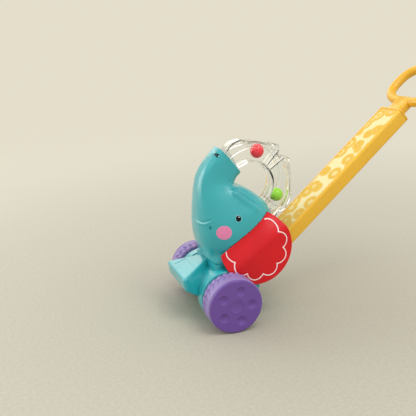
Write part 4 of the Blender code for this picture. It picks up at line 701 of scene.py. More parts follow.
def rounded(corners, inset=0.0):
    """A closed outline with arcs at its corners: every side moves inwards by the inset, an outer corner's
    radius shrinks by it and an inner corner's grows, and each arc is tangent to both its sides."""
    places = np.array([corner for corner, _ in corners])
    radii = np.array([radius for _, radius in corners])
    ahead = np.roll(places, -1, 0) - places
    ahead /= np.linalg.norm(ahead, axis=1)[:, None]
    before = np.roll(ahead, 1, 0)
    normal, normal_before = (np.column_stack([-way[:, 1], way[:, 0]]) for way in (ahead, before))
    bisector = normal + normal_before
    places = places + inset * bisector * 2 / (bisector**2).sum(axis=1)[:, None]
    bulges = before[:, 0] * ahead[:, 1] - before[:, 1] * ahead[:, 0] > 0
    radii = np.where(bulges, np.maximum(radii - inset, 0.15), radii + inset)
    half = (np.pi - np.arccos(np.clip((before * ahead).sum(axis=1), -1, 1))) / 2
    inward = (ahead - before) / np.linalg.norm(ahead - before, axis=1)[:, None]
    centre = places + inward * (radii / np.sin(half))[:, None]
    first = places - before * (radii / np.tan(half))[:, None] - centre
    last = places + ahead * (radii / np.tan(half))[:, None] - centre
    share = np.linspace(0, 1, CORNER_STEPS)[None, :, None]
    spoke = first[:, None, :] * (1 - share) + last[:, None, :] * share
    spoke /= np.linalg.norm(spoke, axis=2, keepdims=True)
    return (centre[:, None, :] + radii[:, None, None] * spoke).reshape(-1, 2)


def slab_mesh(name, corners, half, edge, inset=0.0, steps=10):
    """The outline carried across, from -half to half, and drawn in along a quarter circle at both sides."""
    turn = np.linspace(0, np.pi / 2, steps)
    offset = half - edge + edge * np.cos(turn)
    x = np.concatenate([-offset, offset[::-1]])
    drawn = np.concatenate([edge * (1 - np.sin(turn)), edge * (1 - np.sin(turn[::-1]))]) + inset
    count = len(corners) * CORNER_STEPS
    rows = np.stack([np.column_stack([np.full(count, a), rounded(corners, b)]) for a, b in zip(x, drawn)])
    index = np.arange(rows.shape[0] * rows.shape[1]).reshape(rows.shape[:2])
    faces = grid_faces(index, close_v=True).tolist() + [index[0].tolist(), index[-1].tolist()]
    return make_mesh(name, rows.reshape(-1, 3), faces)


line_y, line_z = rounded(BASE_CORNERS).T
area = 0.5 * np.sum(line_y * np.roll(line_z, -1) - np.roll(line_y, -1) * line_z)
print("base side view, mm2:", round(float(area)))

# %% [markdown]
# The foot is a soft polytope. For each plane with outward normal n at a distance h from the foot's
# middle, a direction d gives the share n.d / h; the radius is one over the p-norm of the positive shares,
# so that all edges come out round. Behind it the neck is a slab, and a disc behind the fenders fills the
# space between them. The foot itself stays solid, because nothing shows its inside.

# %% The foot
# each plane by one of its points and its outward normal
FOOT_MIDDLE, FOOT_POWER = np.array([0.0, -30.0, 50.0]), 20
FOOT_PLANES = [((0.0, -14.0, 71.7), (0.0, -0.350, 0.937)), ((36.5, -50.8, 57.9), (0.826, 0.445, 0.345)),
               ((-36.5, -50.8, 57.9), (-0.826, 0.445, 0.345)), ((35.8, 0.0, 0.0), (1.0, 0.0, 0.0)),
               ((-35.8, 0.0, 0.0), (-1.0, 0.0, 0.0)), ((0.0, -51.6, 57.5), (0.0, -0.986, -0.164)),
               ((0.0, -49.5, 42.6), (0.0, -0.469, -0.883)), ((0.0, -7.0, 0.0), (0.0, 1.0, 0.0)),
               ((0.0, 0.0, 71.6), (0.0, 0.0, 1.0))]
NECK_CORNERS = [((-12.0, 84.0), 1.0), ((-12.0, 22.6), 3.0)] + BASE_CORNERS[4:-1] + [((78.0, 84.0), 1.5)]
CORE_RADIUS, NECK_ROUND = 31.5, 8.5


def foot_mesh(tilts=120, turns=240):
    """The soft polytope on a grid of directions whose poles lie on the x axis."""
    tilt = np.linspace(0, np.pi, tilts)[:, None]
    turn = np.linspace(0, 2 * np.pi, turns, endpoint=False)[None, :]
    way = np.dstack([np.cos(tilt) + 0 * turn, np.sin(tilt) * np.cos(turn), np.sin(tilt) * np.sin(turn)])
    total = 0.0
    for place, normal in FOOT_PLANES:
        height = np.dot(normal, np.array(place) - FOOT_MIDDLE)
        total = total + np.maximum(way @ np.array(normal) / height, 0.0) ** FOOT_POWER
    return sheet_mesh("foot", FOOT_MIDDLE + way * total[:, :, None] ** (-1 / FOOT_POWER), close_v=True)


def beyond_disc(radius, front):
    """Everything in front of a line and outside a circle round the axle, as a cutter."""
    first = math.acos(front / radius)
    turn = np.linspace(first, 2 * np.pi - first, 49)
    edge = np.column_stack([radius * np.cos(turn), axle_z + radius * np.sin(turn)])
    border = np.array([(front, -9.0), (-70.0, -9.0), (-70.0, 90.0), (front, 90.0)])
    return prism_mesh("beyond", np.vstack([edge, border]), -BEYOND, BEYOND)


foot = foot_mesh()
print("foot:", len(foot.polygons), "faces from", len(FOOT_PLANES), "planes")

# %% [markdown]
# The fender is a turned disc with a round rim that stands off the base's side, with the axle's bush in
# its middle. The bare panel in the foot's top is a shallow recess, and the cover's rebate is cut in the
# sloping underside.

# %% Fenders and blocks
FENDER_RADIUS, FENDER_X, FENDER_ROUND, FENDER_BACK = 32.5, 47.0, 1.6, 34.4


def turned_mesh(name, profile, side=1, steps=160):
    """A profile of (x, radius) points turned about the axle."""
    profile = np.asarray(profile, float)
    turn = np.linspace(0, 2 * np.pi, steps, endpoint=False)
    x = np.broadcast_to(profile[:, None, 0], (len(profile), steps)) * side
    grid = np.dstack([x, profile[:, 1:] * np.cos(turn), axle_z + profile[:, 1:] * np.sin(turn)])
    return sheet_mesh(name, grid, close_u=bool(profile[0, 1] > 0), close_v=True)


def arc(centre_x, centre_r, radius, start, end, steps=8):
    """Points (x, radius) of a rounded corner; the angle is counted from +x towards larger radii."""
    turn = np.radians(np.linspace(start, end, steps))
    return np.column_stack([centre_x + radius * np.cos(turn), centre_r + radius * np.sin(turn)])


def box_on_slope(name, centre, way, half_x, half_long, low, high):
    """A block on a sloping face: way is the slope, low and high are heights over it."""
    out = np.array([-way[1], way[0]])
    corners = [centre + way * a + out * b for a, b in
               ((-half_long, low), (half_long, low), (half_long, high), (-half_long, high))]
    return prism_mesh(name, corners, -half_x, half_x)


def window(y_from, y_to, z_from, z_to, half, name="window"):
    """A straight block across the toy."""
    return prism_mesh(name, [(y_from, z_from), (y_to, z_from), (y_to, z_to), (y_from, z_to)], -half, half)


fender_line = np.vstack([[(FENDER_BACK, 0.0), (FENDER_BACK, FENDER_RADIUS)],
                         arc(FENDER_X - FENDER_ROUND, FENDER_RADIUS - FENDER_ROUND, FENDER_ROUND, 90, 0),
                         [(FENDER_X, 0.0)]])
print("fender:", len(fender_line), "points turned round the axle")

# %% The base
HEEL = [((20.0, 9.0), 2.0), ((26.0, 0.0), 1.5), ((65.5, 0.0), 1.5), ((65.5, 5.5), 1.5), ((50.0, 15.0), 2.0)]
HEEL_HALF, HEEL_ROUND, HOLLOW_ROUND, CORE_INSET = 11.0, 1.2, 1.5, 0.1
BOSS_RADIUS, BOSS_FROM, BOSS_TO, BORE_RADIUS, BORE_FROM, BORE_TO = 8.5, 40.0, 50.7, 5.3, 33.0, 55.0
COVER_WAY = np.array([47.0, -25.0]) / math.hypot(47.0, 25.0)
COVER_MIDDLE, COVER_HALF_X, COVER_HALF_LONG, COVER_DEEP = np.array([-1.5, 17.0]), 27.3, 21.3, 2.7
PANEL_WAY = np.array([38.0, 14.2]) / math.hypot(38.0, 14.2)
PANEL_MIDDLE = np.array([-14.0, BASE_TOP]) - 26.8 * PANEL_WAY
PANEL_HALF_X, PANEL_HALF_LONG, PANEL_DEEP = 18.0, 8.5, 0.3

hollow = slab_mesh("hollow", BASE_CORNERS, BASE_HALF - WALL, HOLLOW_ROUND, WALL)
hollow = carve(hollow, (CUT, beyond_disc(CORE_RADIUS - WALL, -8.0)))
core = slab_mesh("core", BASE_CORNERS, BASE_HALF - CORE_INSET, BASE_ROUND, CORE_INSET)
core = carve(core, ("INTERSECT", bar_mesh("disc", CORE_RADIUS, -40.0, 40.0, 0.0, axle_z, 96)))
neck = slab_mesh("neck", NECK_CORNERS, BASE_HALF, NECK_ROUND)
neck = carve(neck, (CUT, window(-60.0, 90.0, BASE_TOP, 100.0, BEYOND, "above")))
steps = [(JOIN, neck), (JOIN, core), (CUT, hollow),
         (CUT, window(-9.0, 75.6, 66.9, 76.0, BASE_HALF - WALL, "mouth")),
         (JOIN, slab_mesh("heel", HEEL, HEEL_HALF, HEEL_ROUND))]
for side, _ in SIDES:
    steps.append((JOIN, turned_mesh("fender", fender_line, side)))
    steps.append((JOIN, bar_mesh("boss", BOSS_RADIUS, side * BOSS_FROM, side * BOSS_TO, 0.0, axle_z, 60)))
    steps.append((CUT, bar_mesh("bush_bore", BORE_RADIUS, side * BORE_FROM, side * BORE_TO, 0.0, axle_z, 60)))
steps.append((CUT, handle_room()))
rebate = box_on_slope("rebate", COVER_MIDDLE, COVER_WAY, COVER_HALF_X, COVER_HALF_LONG, -3.0, COVER_DEEP)
panel = box_on_slope("panel", PANEL_MIDDLE, PANEL_WAY, PANEL_HALF_X, PANEL_HALF_LONG, -PANEL_DEEP, 3.0)
base = carve(foot, *steps, (CUT, rebate), (CUT, panel))
piece("base_skin", base, TEAL, "body", ["base_housing"])

# %% [markdown]
# ## Wheels
#
# A wheel is a disc with five round dimples and a shallow dished cap. The face is a polar grid whose x
# falls by a parabola inside each dimple. The drum behind the face carries the tyre, and a hub in it holds
# the axle.

# %% Wheel face, cap and drum
WHEEL_OUT, WHEEL_IN, FACE_RADIUS, FACE_THICK = 79.0, 53.0, 33.2, 3.2
DIMPLES, DIMPLE_CIRCLE, DIMPLE_RADIUS, DIMPLE_DEPTH, FIRST_DIMPLE = 5, 19.5, 6.0, 2.2, 2.4
CAP_RADIUS, CAP_DISH, CAP_GAP, CAP_ROUND, CAP_THICK = 9.1, 1.5, 0.35, 0.2, 1.6
RIM_CURVE, DRUM_OUT, DRUM_IN, HUB_OUT, HUB_IN = 1.6, 25.0, 22.2, 6.8, 2.8


def dish(gap, radius, depth):
    """A round hollow with a crisp edge: depth * (1 - (gap / radius)^2) inside its radius."""
    return depth * np.clip(1 - (gap / radius) ** 2, 0, 1)


def wheel_mesh(name, side, steps=300):
    """The face, its rim, then the drum and the hub behind it, as one closed profile round the axle."""
    inner = np.linspace(CAP_RADIUS, FACE_RADIUS - RIM_CURVE, 110)
    rim = arc(WHEEL_OUT - RIM_CURVE, FACE_RADIUS - RIM_CURVE, RIM_CURVE, 0, 90, 10)
    behind, seat = WHEEL_OUT - FACE_THICK, WHEEL_OUT - 1.9
    back = [(behind, 33.0), (behind, DRUM_OUT), (WHEEL_IN, DRUM_OUT), (WHEEL_IN, DRUM_IN), (behind, DRUM_IN),
            (behind, HUB_OUT), (53.3, HUB_OUT), (53.3, HUB_IN), (seat, HUB_IN), (seat, CAP_RADIUS)]
    profile = np.vstack([np.column_stack([np.full(len(inner), WHEEL_OUT), inner]), rim[1:], back])
    turn = np.linspace(0, 2 * np.pi, steps, endpoint=False)
    y, z = profile[:, 1:] * np.cos(turn), profile[:, 1:] * np.sin(turn)
    x = np.broadcast_to(profile[:, None, 0], y.shape).copy()
    face = slice(0, len(inner))
    for k in range(DIMPLES):
        way = math.radians(FIRST_DIMPLE + 360 / DIMPLES * k)
        gap = np.hypot(y[face] - DIMPLE_CIRCLE * math.cos(way), z[face] - DIMPLE_CIRCLE * math.sin(way))
        x[face] -= dish(gap, DIMPLE_RADIUS, DIMPLE_DEPTH)
    grid = np.dstack([side * x, y, axle_z + z])
    return sheet_mesh(name, grid, close_u=True, close_v=True)


def cap_mesh(name, side):
    """A dished disc with a fine round edge, a small gap clear of the wheel."""
    reach, back = CAP_RADIUS - CAP_GAP, WHEEL_OUT - CAP_THICK
    radius = np.linspace(0, reach, 24)
    top = np.column_stack([WHEEL_OUT - dish(radius, reach, CAP_DISH), radius])
    edge = arc(WHEEL_OUT - CAP_ROUND, reach, CAP_ROUND, 0, 90, 5)
    profile = np.vstack([top, edge, [(back, reach + CAP_ROUND), (back, 0.0)]])
    return turned_mesh(name, profile, side, steps=120)


for side, label in SIDES:
    piece("wheel_face_" + label, wheel_mesh("wheel_" + label, side), PURPLE, "wheels", ["wheel_" + label])
    piece("wheel_hubcap_" + label, cap_mesh("cap_" + label, side), PURPLE, "wheels", ["wheel_cap_" + label])

# %% [markdown]
# ## Tyres
#
# The soft tyre has a smooth shoulder outside and zigzag lugs on its inner part. Its surface is a profile
# round the axle whose radius falls into grooves: a groove lies where the angle, shifted by a zigzag of x,
# passes a multiple of the lug pitch. One more groove runs round the tyre between two rows of lugs.

# %% The tyre
TYRE_RADIUS, TYRE_SEAT, TYRE_GAP, SHOULDER = 34.0, 25.3, 0.3, 2.0
LUGS, LUG_DEPTH, LUG_END, ZIGZAG, ZIGZAG_TURNS, LUG_HALF = 26, 1.2, 67.0, 0.42, 1.5, 0.30
ROW_GAP_AT, ROW_GAP_HALF = WHEEL_IN + 7.6, 0.55


def tyre_mesh(name, side, steps=832):
    """Radius = profile - LUG_DEPTH inside the grooves, whose walls are smooth steps."""
    tread = np.linspace(WHEEL_IN + 1.0, LUG_END + 0.8, 52)
    outside = WHEEL_OUT - FACE_THICK - TYRE_GAP
    shoulder = arc(outside - SHOULDER, TYRE_RADIUS - SHOULDER, SHOULDER, 90, 10, 8)
    profile = np.vstack([[(WHEEL_IN, TYRE_SEAT), (WHEEL_IN, 33.0)],
                         np.column_stack([tread, np.full(len(tread), TYRE_RADIUS)]),
                         [(LUG_END + 2.0, TYRE_RADIUS)], shoulder, [(outside, TYRE_SEAT)]])
    turn = np.linspace(0, 2 * np.pi, steps, endpoint=False)[None, :]
    x = profile[:, :1]
    across = (x - WHEEL_IN) / (LUG_END - WHEEL_IN)
    zigzag = ZIGZAG * np.abs((across * ZIGZAG_TURNS) % 1.0 * 2 - 1)
    phase = (turn * LUGS / (2 * np.pi) + zigzag) % 1.0
    gap = smooth((np.abs(phase - 0.5) - LUG_HALF) / 0.06)
    end = smooth((LUG_END - x) / 0.7) * (profile[:, 1:] > TYRE_RADIUS - SHOULDER)
    row_gap = smooth((ROW_GAP_HALF - np.abs(x - ROW_GAP_AT)) / 0.4)
    radius = profile[:, 1:] - LUG_DEPTH * np.maximum(gap, row_gap) * end
    y, z = radius * np.cos(turn), axle_z + radius * np.sin(turn)
    grid = np.dstack([side * np.broadcast_to(x, radius.shape), y, z])
    return sheet_mesh(name, grid, close_u=True, close_v=True)


for side, label in SIDES:
    piece("tyre_tread_" + label, tyre_mesh("tyre_" + label, side), LILAC, "wheels", ["tyre_" + label])

# %% [markdown]
# ## The clear ring
#
# Each half of the ring is a channel: its section is an open box, carried round the ring's centre while
# the outer wall follows a lobed outline. A section point is given either by a fixed radius or by its
# distance from that outline. Thin flat walls close the four chambers.

# %% Ring halves
LOBE_STEP, RING_TURN, LOBE_R = 90.0, -2.0, 59.8
EDGE_DEG = [-45, -41, -38, -35, -32, -29, -26, -20, -8, 2, 8, 13, 18, 26, 33, 38, 42, 45]
EDGE_SHARE = [0.856, 0.876, 0.936, 0.990, 1.000, 0.978, 0.945, 0.925, 0.914, 0.912, 0.926, 0.965, 0.998,
              1.000, 0.992, 0.960, 0.915, 0.890]
ring_side = spline(np.column_stack([EDGE_DEG, EDGE_SHARE]), 8)


def ring_edge(degrees):
    """Outer radius: flat sides with a broad lobe at one end and a narrow one at the other, mirrored from side
    to side. The angle is counted from a side's middle, and the radius read off a curve through its shares."""
    side, place = np.divmod(np.asarray(degrees, float) - RING_TURN + LOBE_STEP / 2, LOBE_STEP)
    away = (place - LOBE_STEP / 2) * np.where(side % 2 == 0, -1, 1)
    return LOBE_R * np.minimum(np.interp(away, ring_side[:, 0], ring_side[:, 1]), 1.0)


# x, then a distance from the edge or a radius: the outer wall, rail, side, hub and inside in turn
RING_SECTION = [(0.15, "edge", 0.0), (9.6, "edge", 0.0), (10.4, "edge", -0.2), (10.85, "edge", -0.5),
                (11.0, "edge", -0.9), (11.0, "at", 50.0), (14.0, "at", 50.0), (14.3, "at", 49.7),
                (14.3, "at", 48.1), (14.0, "at", 47.8), (11.0, "at", 47.8), (11.0, "at", 30.2),
                (10.65, "at", 29.35), (9.8, "at", 29.0), (0.15, "at", 29.0), (0.15, "at", 30.8),
                (8.9, "at", 30.8), (9.3, "at", 31.2), (9.3, "edge", -2.2), (8.9, "edge", -1.8),
                (0.15, "edge", -1.8)]
CHAMBER_WALL, WALL_FOOT, WALL_TOP, WALL_FROM, WALL_TO, WALL_APART = 1.3, 30.9, -1.9, 0.2, 9.2, 6.7


def ring_mesh(name, side, steps=720):
    """The section carried round the ring's centre."""
    degrees = np.linspace(0, 360, steps, endpoint=False)
    edge = ring_edge(degrees)
    radius = np.stack([edge + value if kind == "edge" else np.full(steps, value)
                       for _, kind, value in RING_SECTION])
    x = np.array([point[0] for point in RING_SECTION])[:, None] * side
    turn = np.radians(degrees)
    y, z = ring_y + radius * np.cos(turn), ring_z + radius * np.sin(turn)
    return sheet_mesh(name, np.dstack([np.broadcast_to(x, radius.shape), y, z]), close_u=True, close_v=True)


def wall_mesh(name, side, degrees):
    """A chamber's end wall: a thin block between the hub and the outer wall."""
    start, end, half = WALL_FOOT, float(ring_edge(np.array(degrees))) + WALL_TOP, CHAMBER_WALL / 2
    turn = math.radians(degrees)
    way, aside = np.array([math.cos(turn), math.sin(turn)]), np.array([-math.sin(turn), math.cos(turn)])
    corners = [np.array([ring_y, ring_z]) + way * a + aside * b
               for a, b in ((start, -half), (end, -half), (end, half), (start, half))]
    return prism_mesh(name, corners, *sorted((side * WALL_FROM, side * WALL_TO)))


wall_turns = [RING_TURN + LOBE_STEP * (k + 0.5) + off for k in range(4) for off in (-WALL_APART, WALL_APART)]
for side, label in SIDES:
    half_ring = ring_mesh("ring_" + label, side)
    piece("ring_skin_" + label, half_ring, CLEAR, "ring", ["ring_half_" + label], sharp=40)
    for number, degrees in enumerate(wall_turns):
        piece("ring_wall_%s_%d" % (label, number), wall_mesh("ring_wall", side, degrees), CLEAR, "ring")

# %% [markdown]
# ## Beads
#
# A bead is a ball with a faint moulding line: its radius grows by a twentieth of a millimetre in a narrow
# band round its middle.

# %% The beads
BEAD_RADIUS, SEAM_HIGH, SEAM_WIDE, BEAD_CIRCLE = 8.70, 0.05, 0.03, 42.5


def bead_mesh(name, degrees, rings=64, steps=96):
    """Radius = BEAD_RADIUS + SEAM_HIGH * exp(-(cos(tilt) / SEAM_WIDE)^2), with its poles on the x axis."""
    tilt = np.linspace(0, np.pi, rings)[:, None]
    turn = np.linspace(0, 2 * np.pi, steps, endpoint=False)[None, :]
    radius = BEAD_RADIUS + SEAM_HIGH * np.exp(-(np.cos(tilt) / SEAM_WIDE) ** 2) + 0 * turn
    spot, out = math.radians(degrees), radius * np.sin(tilt)
    centre = np.array([0.0, ring_y + BEAD_CIRCLE * math.cos(spot), ring_z + BEAD_CIRCLE * math.sin(spot)])
    grid = np.dstack([radius * np.cos(tilt), out * np.cos(turn), out * np.sin(turn)])
    return sheet_mesh(name, grid + centre, close_v=True)


piece("red_ball", bead_mesh("red_ball", 76.6), RED_BEAD, "red_bead", ["bead_red"])
piece("green_ball", bead_mesh("green_ball", -24.2), GREEN_BEAD, "green_bead", ["bead_green"])

# %% [markdown]
# ## Handle
#
# The handle is a hollow flat bar whose upper face is sunk between two rims, for a label. The bar's
# section is a loop of points carried along the slope, once outside and once inside, and both are joined
# at the ends.

# %% The bar
LABEL_SUNK, BAR_RIM, BAR_CORNER = 0.7, 4.0, 3.0
BAR_WALL_X, BAR_WALL_UP, BAR_CORNER_IN, BAR_LOWER = 3.0, 3.7, 2.2, 0.35


def bar_section(width, thick, corner, sunk=0.0, steps=8):
    """A rectangle with round corners, counted across and up; its top face may have a sunk middle."""
    turn = np.linspace(0, np.pi / 2, steps)
    loops = []
    for k, (sx, sz) in enumerate(((1, 1), (-1, 1), (-1, -1), (1, -1))):
        angle = turn + k * np.pi / 2
        loops.append(np.column_stack([sx * (width / 2 - corner) + corner * np.cos(angle),
                                      sz * (thick / 2 - corner) + corner * np.sin(angle)]))
        if k == 0:
            edge, top = width / 2 - BAR_RIM, thick / 2
            loops.append(np.array([(edge + 0.2, top), (edge, top - sunk),
                                   (-edge, top - sunk), (-edge - 0.2, top)]))
    return np.vstack(loops)


def along_bar(section, distance):
    """Section points (across, up) at a distance along the handle, as toy places."""
    yz = HANDLE_FOOT + HANDLE_WAY * distance + section[:, 1:] * HANDLE_RISE
    return np.column_stack([section[:, 0], yz])


outer = bar_section(HANDLE_WIDE, HANDLE_THICK, BAR_CORNER, LABEL_SUNK)
inner = bar_section(HANDLE_WIDE - BAR_WALL_X, HANDLE_THICK - BAR_WALL_UP, BAR_CORNER_IN) - [0.0, BAR_LOWER]
tube = np.stack([along_bar(section, distance) for section, distance in
                 ((outer, 0.0), (outer, HANDLE_LONG), (inner, HANDLE_LONG), (inner, 0.0))])
tube = sheet_mesh("handle_tube", tube, close_u=True, close_v=True)
piece("handle_tube", tube, YELLOW, "body", ["handle_bar"])

# %% [markdown]
# The printed label is golden with pale and orange motifs. Any print would do here, so the pattern is a
# general one: rings and dots from a Voronoi pattern, whose cells are distances to scattered points. The
# label is its own thin piece on the bar, as the real one is.

# %% The label
LABEL_CELLS, LABEL_SCATTER = 50.0, 0.75
LABEL_STOPS = [(0.0, (0.82, 0.42, 0.02)), (0.15, (0.86, 0.50, 0.04)), (0.19, (0.76, 0.58, 0.20)),
               (0.28, (0.76, 0.58, 0.20)), (0.34, (0.72, 0.42, 0.03)), (0.52, (0.74, 0.45, 0.04)),
               (0.60, (0.80, 0.68, 0.33))]
LABEL_FROM, LABEL_END, LABEL_SIDE, LABEL_THICK, LABEL_CORNER, LABEL_LIFT = 24.0, 4.0, 8.6, 0.3, 0.12, 0.17


def set_stops(ramp, stops):
    """Fills a colour ramp: its first and last stop are there already, and the others are new."""
    elements = ramp.color_ramp.elements
    for k in (0, -1):
        elements[k].position, elements[k].color = stops[k][0], (*stops[k][1], 1.0)
    for position, colour in stops[1:-1]:
        elements.new(position).color = (*colour, 1.0)


def label_material(name):
    """Orange dots in pale rings on gold, from the distance to the nearest scattered point."""
    material = moulded(name, (0.95, 0.85, 0.42), 0.5, edge=0, shine=0.3)
    nodes, links = material.node_tree.nodes, material.node_tree.links
    shader = nodes["Principled BSDF"]
    place = add_node(nodes, "TexCoord")
    cells = add_node(nodes, "TexVoronoi", Scale=LABEL_CELLS, Randomness=LABEL_SCATTER)
    links.new(place.outputs["Object"], cells.inputs["Vector"])
    ramp = add_node(nodes, "ValToRGB")
    ramp.color_ramp.interpolation = "EASE"
    set_stops(ramp, LABEL_STOPS)
    links.new(cells.outputs["Distance"], ramp.inputs["Fac"])
    links.new(ramp.outputs["Color"], shader.inputs["Base Color"])
    return material


section = bar_section(HANDLE_WIDE - LABEL_SIDE, LABEL_THICK, LABEL_CORNER)
section = section + [0.0, HANDLE_THICK / 2 - LABEL_SUNK + LABEL_LIFT]
rows = np.stack([along_bar(section, d) for d in np.linspace(LABEL_FROM, HANDLE_LONG - LABEL_END, 60)])
first, last = (rows[[k]].mean(axis=1, keepdims=True) + 0 * rows[[k]] for k in (0, -1))
label_mesh = sheet_mesh("handle_label", np.vstack([first, rows, last]), close_v=True)
piece("handle_label", label_mesh, label_material("label_print"), "body")

# %% [markdown]
# ## Grip
#
# The grip is a closed loop of round bar. The loop's middle line is a superellipse, and a circle is
# carried along it. A flat stem joins it to the bar's end, and a collar closes the bar.

# %% The grip
GRIP_BAR, GRIP_WIDE, GRIP_LONG, GRIP_STEM, GRIP_SQUARE = 6.3, 48.0, 33.0, 24.0, 2.6
STEM_WIDE, STEM_THICK, STEM_CORNER, STEM_IN_LOOP, GRIP_GAP, COLLAR_TO = 26.0, 12.8, 4.0, 4.0, 0.3, 3.2


def loop_mesh(name, steps=260, around=40):
    """A circle carried along x = GRIP_WIDE * cos(a)^(2/n) and GRIP_LONG * sin(a)^(2/n) along the handle."""
    turn = np.linspace(0, 2 * np.pi, steps, endpoint=False)
    across = GRIP_WIDE * signed_power(np.cos(turn), 2 / GRIP_SQUARE)
    along = GRIP_LONG * signed_power(np.sin(turn), 2 / GRIP_SQUARE)
    middle = HANDLE_LONG + GRIP_STEM + GRIP_LONG
    path = np.column_stack([across, HANDLE_FOOT + (middle + along)[:, None] * HANDLE_WAY])
    step = np.roll(path, -1, 0) - np.roll(path, 1, 0)
    step /= np.linalg.norm(step, axis=1)[:, None]
    up = np.array([0.0, *HANDLE_RISE])
    side_way = np.cross(step, up)
    spin = np.linspace(0, 2 * np.pi, around, endpoint=False)
    grid = path[:, None, :] + GRIP_BAR * (side_way[:, None, :] * np.cos(spin)[None, :, None]
                                          + up * np.sin(spin)[None, :, None])
    return sheet_mesh(name, grid, close_u=True, close_v=True)


def block_along(name, section, start, end, edge=0.6):
    """A section carried along the handle, drawn in a little at both ends."""
    shrunk = 1 - edge / 10
    places = ((0.0, start), (shrunk, start), (1.0, start + edge),
              (1.0, end - edge), (shrunk, end), (0.0, end))
    return sheet_mesh(name, np.stack([along_bar(section * size, at) for size, at in places]), close_v=True)


stem_section = bar_section(STEM_WIDE, STEM_THICK, STEM_CORNER)
stem_end = HANDLE_LONG + GRIP_STEM + STEM_IN_LOOP
stem = block_along("stem", stem_section, HANDLE_LONG + GRIP_GAP, stem_end)
collar_section = bar_section(HANDLE_WIDE, HANDLE_THICK, BAR_CORNER)
collar = block_along("collar", collar_section, HANDLE_LONG + GRIP_GAP, HANDLE_LONG + COLLAR_TO)
grip = carve(loop_mesh("grip"), (JOIN, stem), (JOIN, collar))
piece("grip_loop", grip, YELLOW, "body", ["handle_grip"])

# %% [markdown]
# ## Small parts that keep the model's shape
#
# Screws, pins, bushes, gears, rollers and the cover are simple forms that the imported model already has.
# They keep its meshes and only get their finish.

# %% Finishes of the carried-over nodes
# screws get the dark steel, a painted shade for their deep wells
FINISHES = {"screw": PAINTED_SHADE_SCREW_STEEL, "pin": STEEL, "axle": STEEL, "roller_shaft": STEEL, "gear": WHITE,
            "bush": WHITE, "support_roller": WHITE, "drive_roller": RUBBER, "base_cover": TEAL_DARK}
for name, node in frame["nodes"].items():
    fits = [word for word in FINISHES if word in name]
    chosen = FINISHES[max(fits, key=len)] if fits else TEAL
    node.data.materials.clear()
    node.data.materials.append(chosen)
small = [name for name in frame["nodes"] if any(word in name for word in FINISHES)]
print("nodes carried over:", len(small))

# %% [markdown]
# ## Floor, light and camera
#
# The toy stands on a pale plain floor whose colour is painted darker near the toy, a painted shade that
# grows lighter with the distance. Far away the camera sees the backdrop's own colour there, so no horizon
# shows. The world gives an even glow, which is most of the light. Three large soft lamps, in front, on the
# far side and above, draw the pale highlights on the glossy skin, and a weak, very soft sun adds a shade
# under the toy.

# %% The floor
BACKDROP = (0.776, 0.730, 0.600)
FLOOR_HALF, SPECKLE_SCALE, PAINTED_SHADE_REACH, FADE_FROM, FADE_TO = 60.0, 260.0, 1.6, 0.35, 1.6
# painted shade: the floor's colour is darkest close to the toy and grows lighter with the distance
PAINTED_SHADE_FLOOR_STOPS = [(0.05, (0.46, 0.425, 0.335)), (0.25, (0.53, 0.49, 0.39)), (1.0, (0.70, 0.655, 0.535))]


def seen_rays(nodes, links):
    """1 for rays from the camera, or by way of gloss and clear plastic, and 0 for rays that light things."""
    path = add_node(nodes, "LightPath")
    total = path.outputs["Is Camera Ray"]
    for name in ("Is Glossy Ray", "Is Transmission Ray"):
        most = add_node(nodes, "Math", "MAXIMUM")
        links.new(total, most.inputs[0])
        links.new(path.outputs[name], most.inputs[1])
        total = most.outputs[0]
    return total


def floor_material():
    """Matt floor with painted shade that darkens it near the toy, and a speckle; it fades to the backdrop."""
    material, nodes, links, shader = new_material("pale_floor")
    shader.inputs["Roughness"].default_value = 0.9
    shader.inputs["Specular IOR Level"].default_value = 0.1
    place = add_node(nodes, "TexCoord")
    reach = add_node(nodes, "VectorMath", "LENGTH")
    links.new(place.outputs["Object"], reach.inputs[0])
    tone = add_node(nodes, "TexNoise", Scale=SPECKLE_SCALE, Detail=4.0)
    links.new(place.outputs["Object"], tone.inputs["Vector"])
    # painted shade: the ramp darkens the floor's colour near the toy
    ramp = add_node(nodes, "ValToRGB")
    set_stops(ramp, PAINTED_SHADE_FLOOR_STOPS)
    near = add_node(nodes, "Math", "DIVIDE")
    near.inputs[1].default_value = PAINTED_SHADE_REACH
    links.new(reach.outputs["Value"], near.inputs[0])
    links.new(near.outputs[0], ramp.inputs["Fac"])
    speck = add_node(nodes, "MapRange", From_Min=0.3, From_Max=0.7, To_Min=0.95, To_Max=1.05)
    links.new(tone.outputs["Fac"], speck.inputs["Value"])
    mixed = add_node(nodes, "VectorMath", "SCALE")
    links.new(ramp.outputs["Color"], mixed.inputs[0])
    links.new(speck.outputs["Result"], mixed.inputs["Scale"])
    links.new(mixed.outputs["Vector"], shader.inputs["Base Color"])
    glow = add_node(nodes, "Emission", Color=(*BACKDROP, 1.0))
    far = add_node(nodes, "MapRange", From_Min=FADE_FROM, From_Max=FADE_TO)
    far.interpolation_type = "SMOOTHSTEP"
    links.new(reach.outputs["Value"], far.inputs["Value"])
    share = add_node(nodes, "Math", "MULTIPLY")
    links.new(far.outputs["Result"], share.inputs[0])
    links.new(seen_rays(nodes, links), share.inputs[1])
    fade = add_node(nodes, "MixShader")
    links.new(share.outputs[0], fade.inputs[0])
    links.new(shader.outputs[0], fade.inputs[1])
    links.new(glow.outputs[0], fade.inputs[2])
    links.new(fade.outputs[0], nodes["Material Output"].inputs["Surface"])
    return material


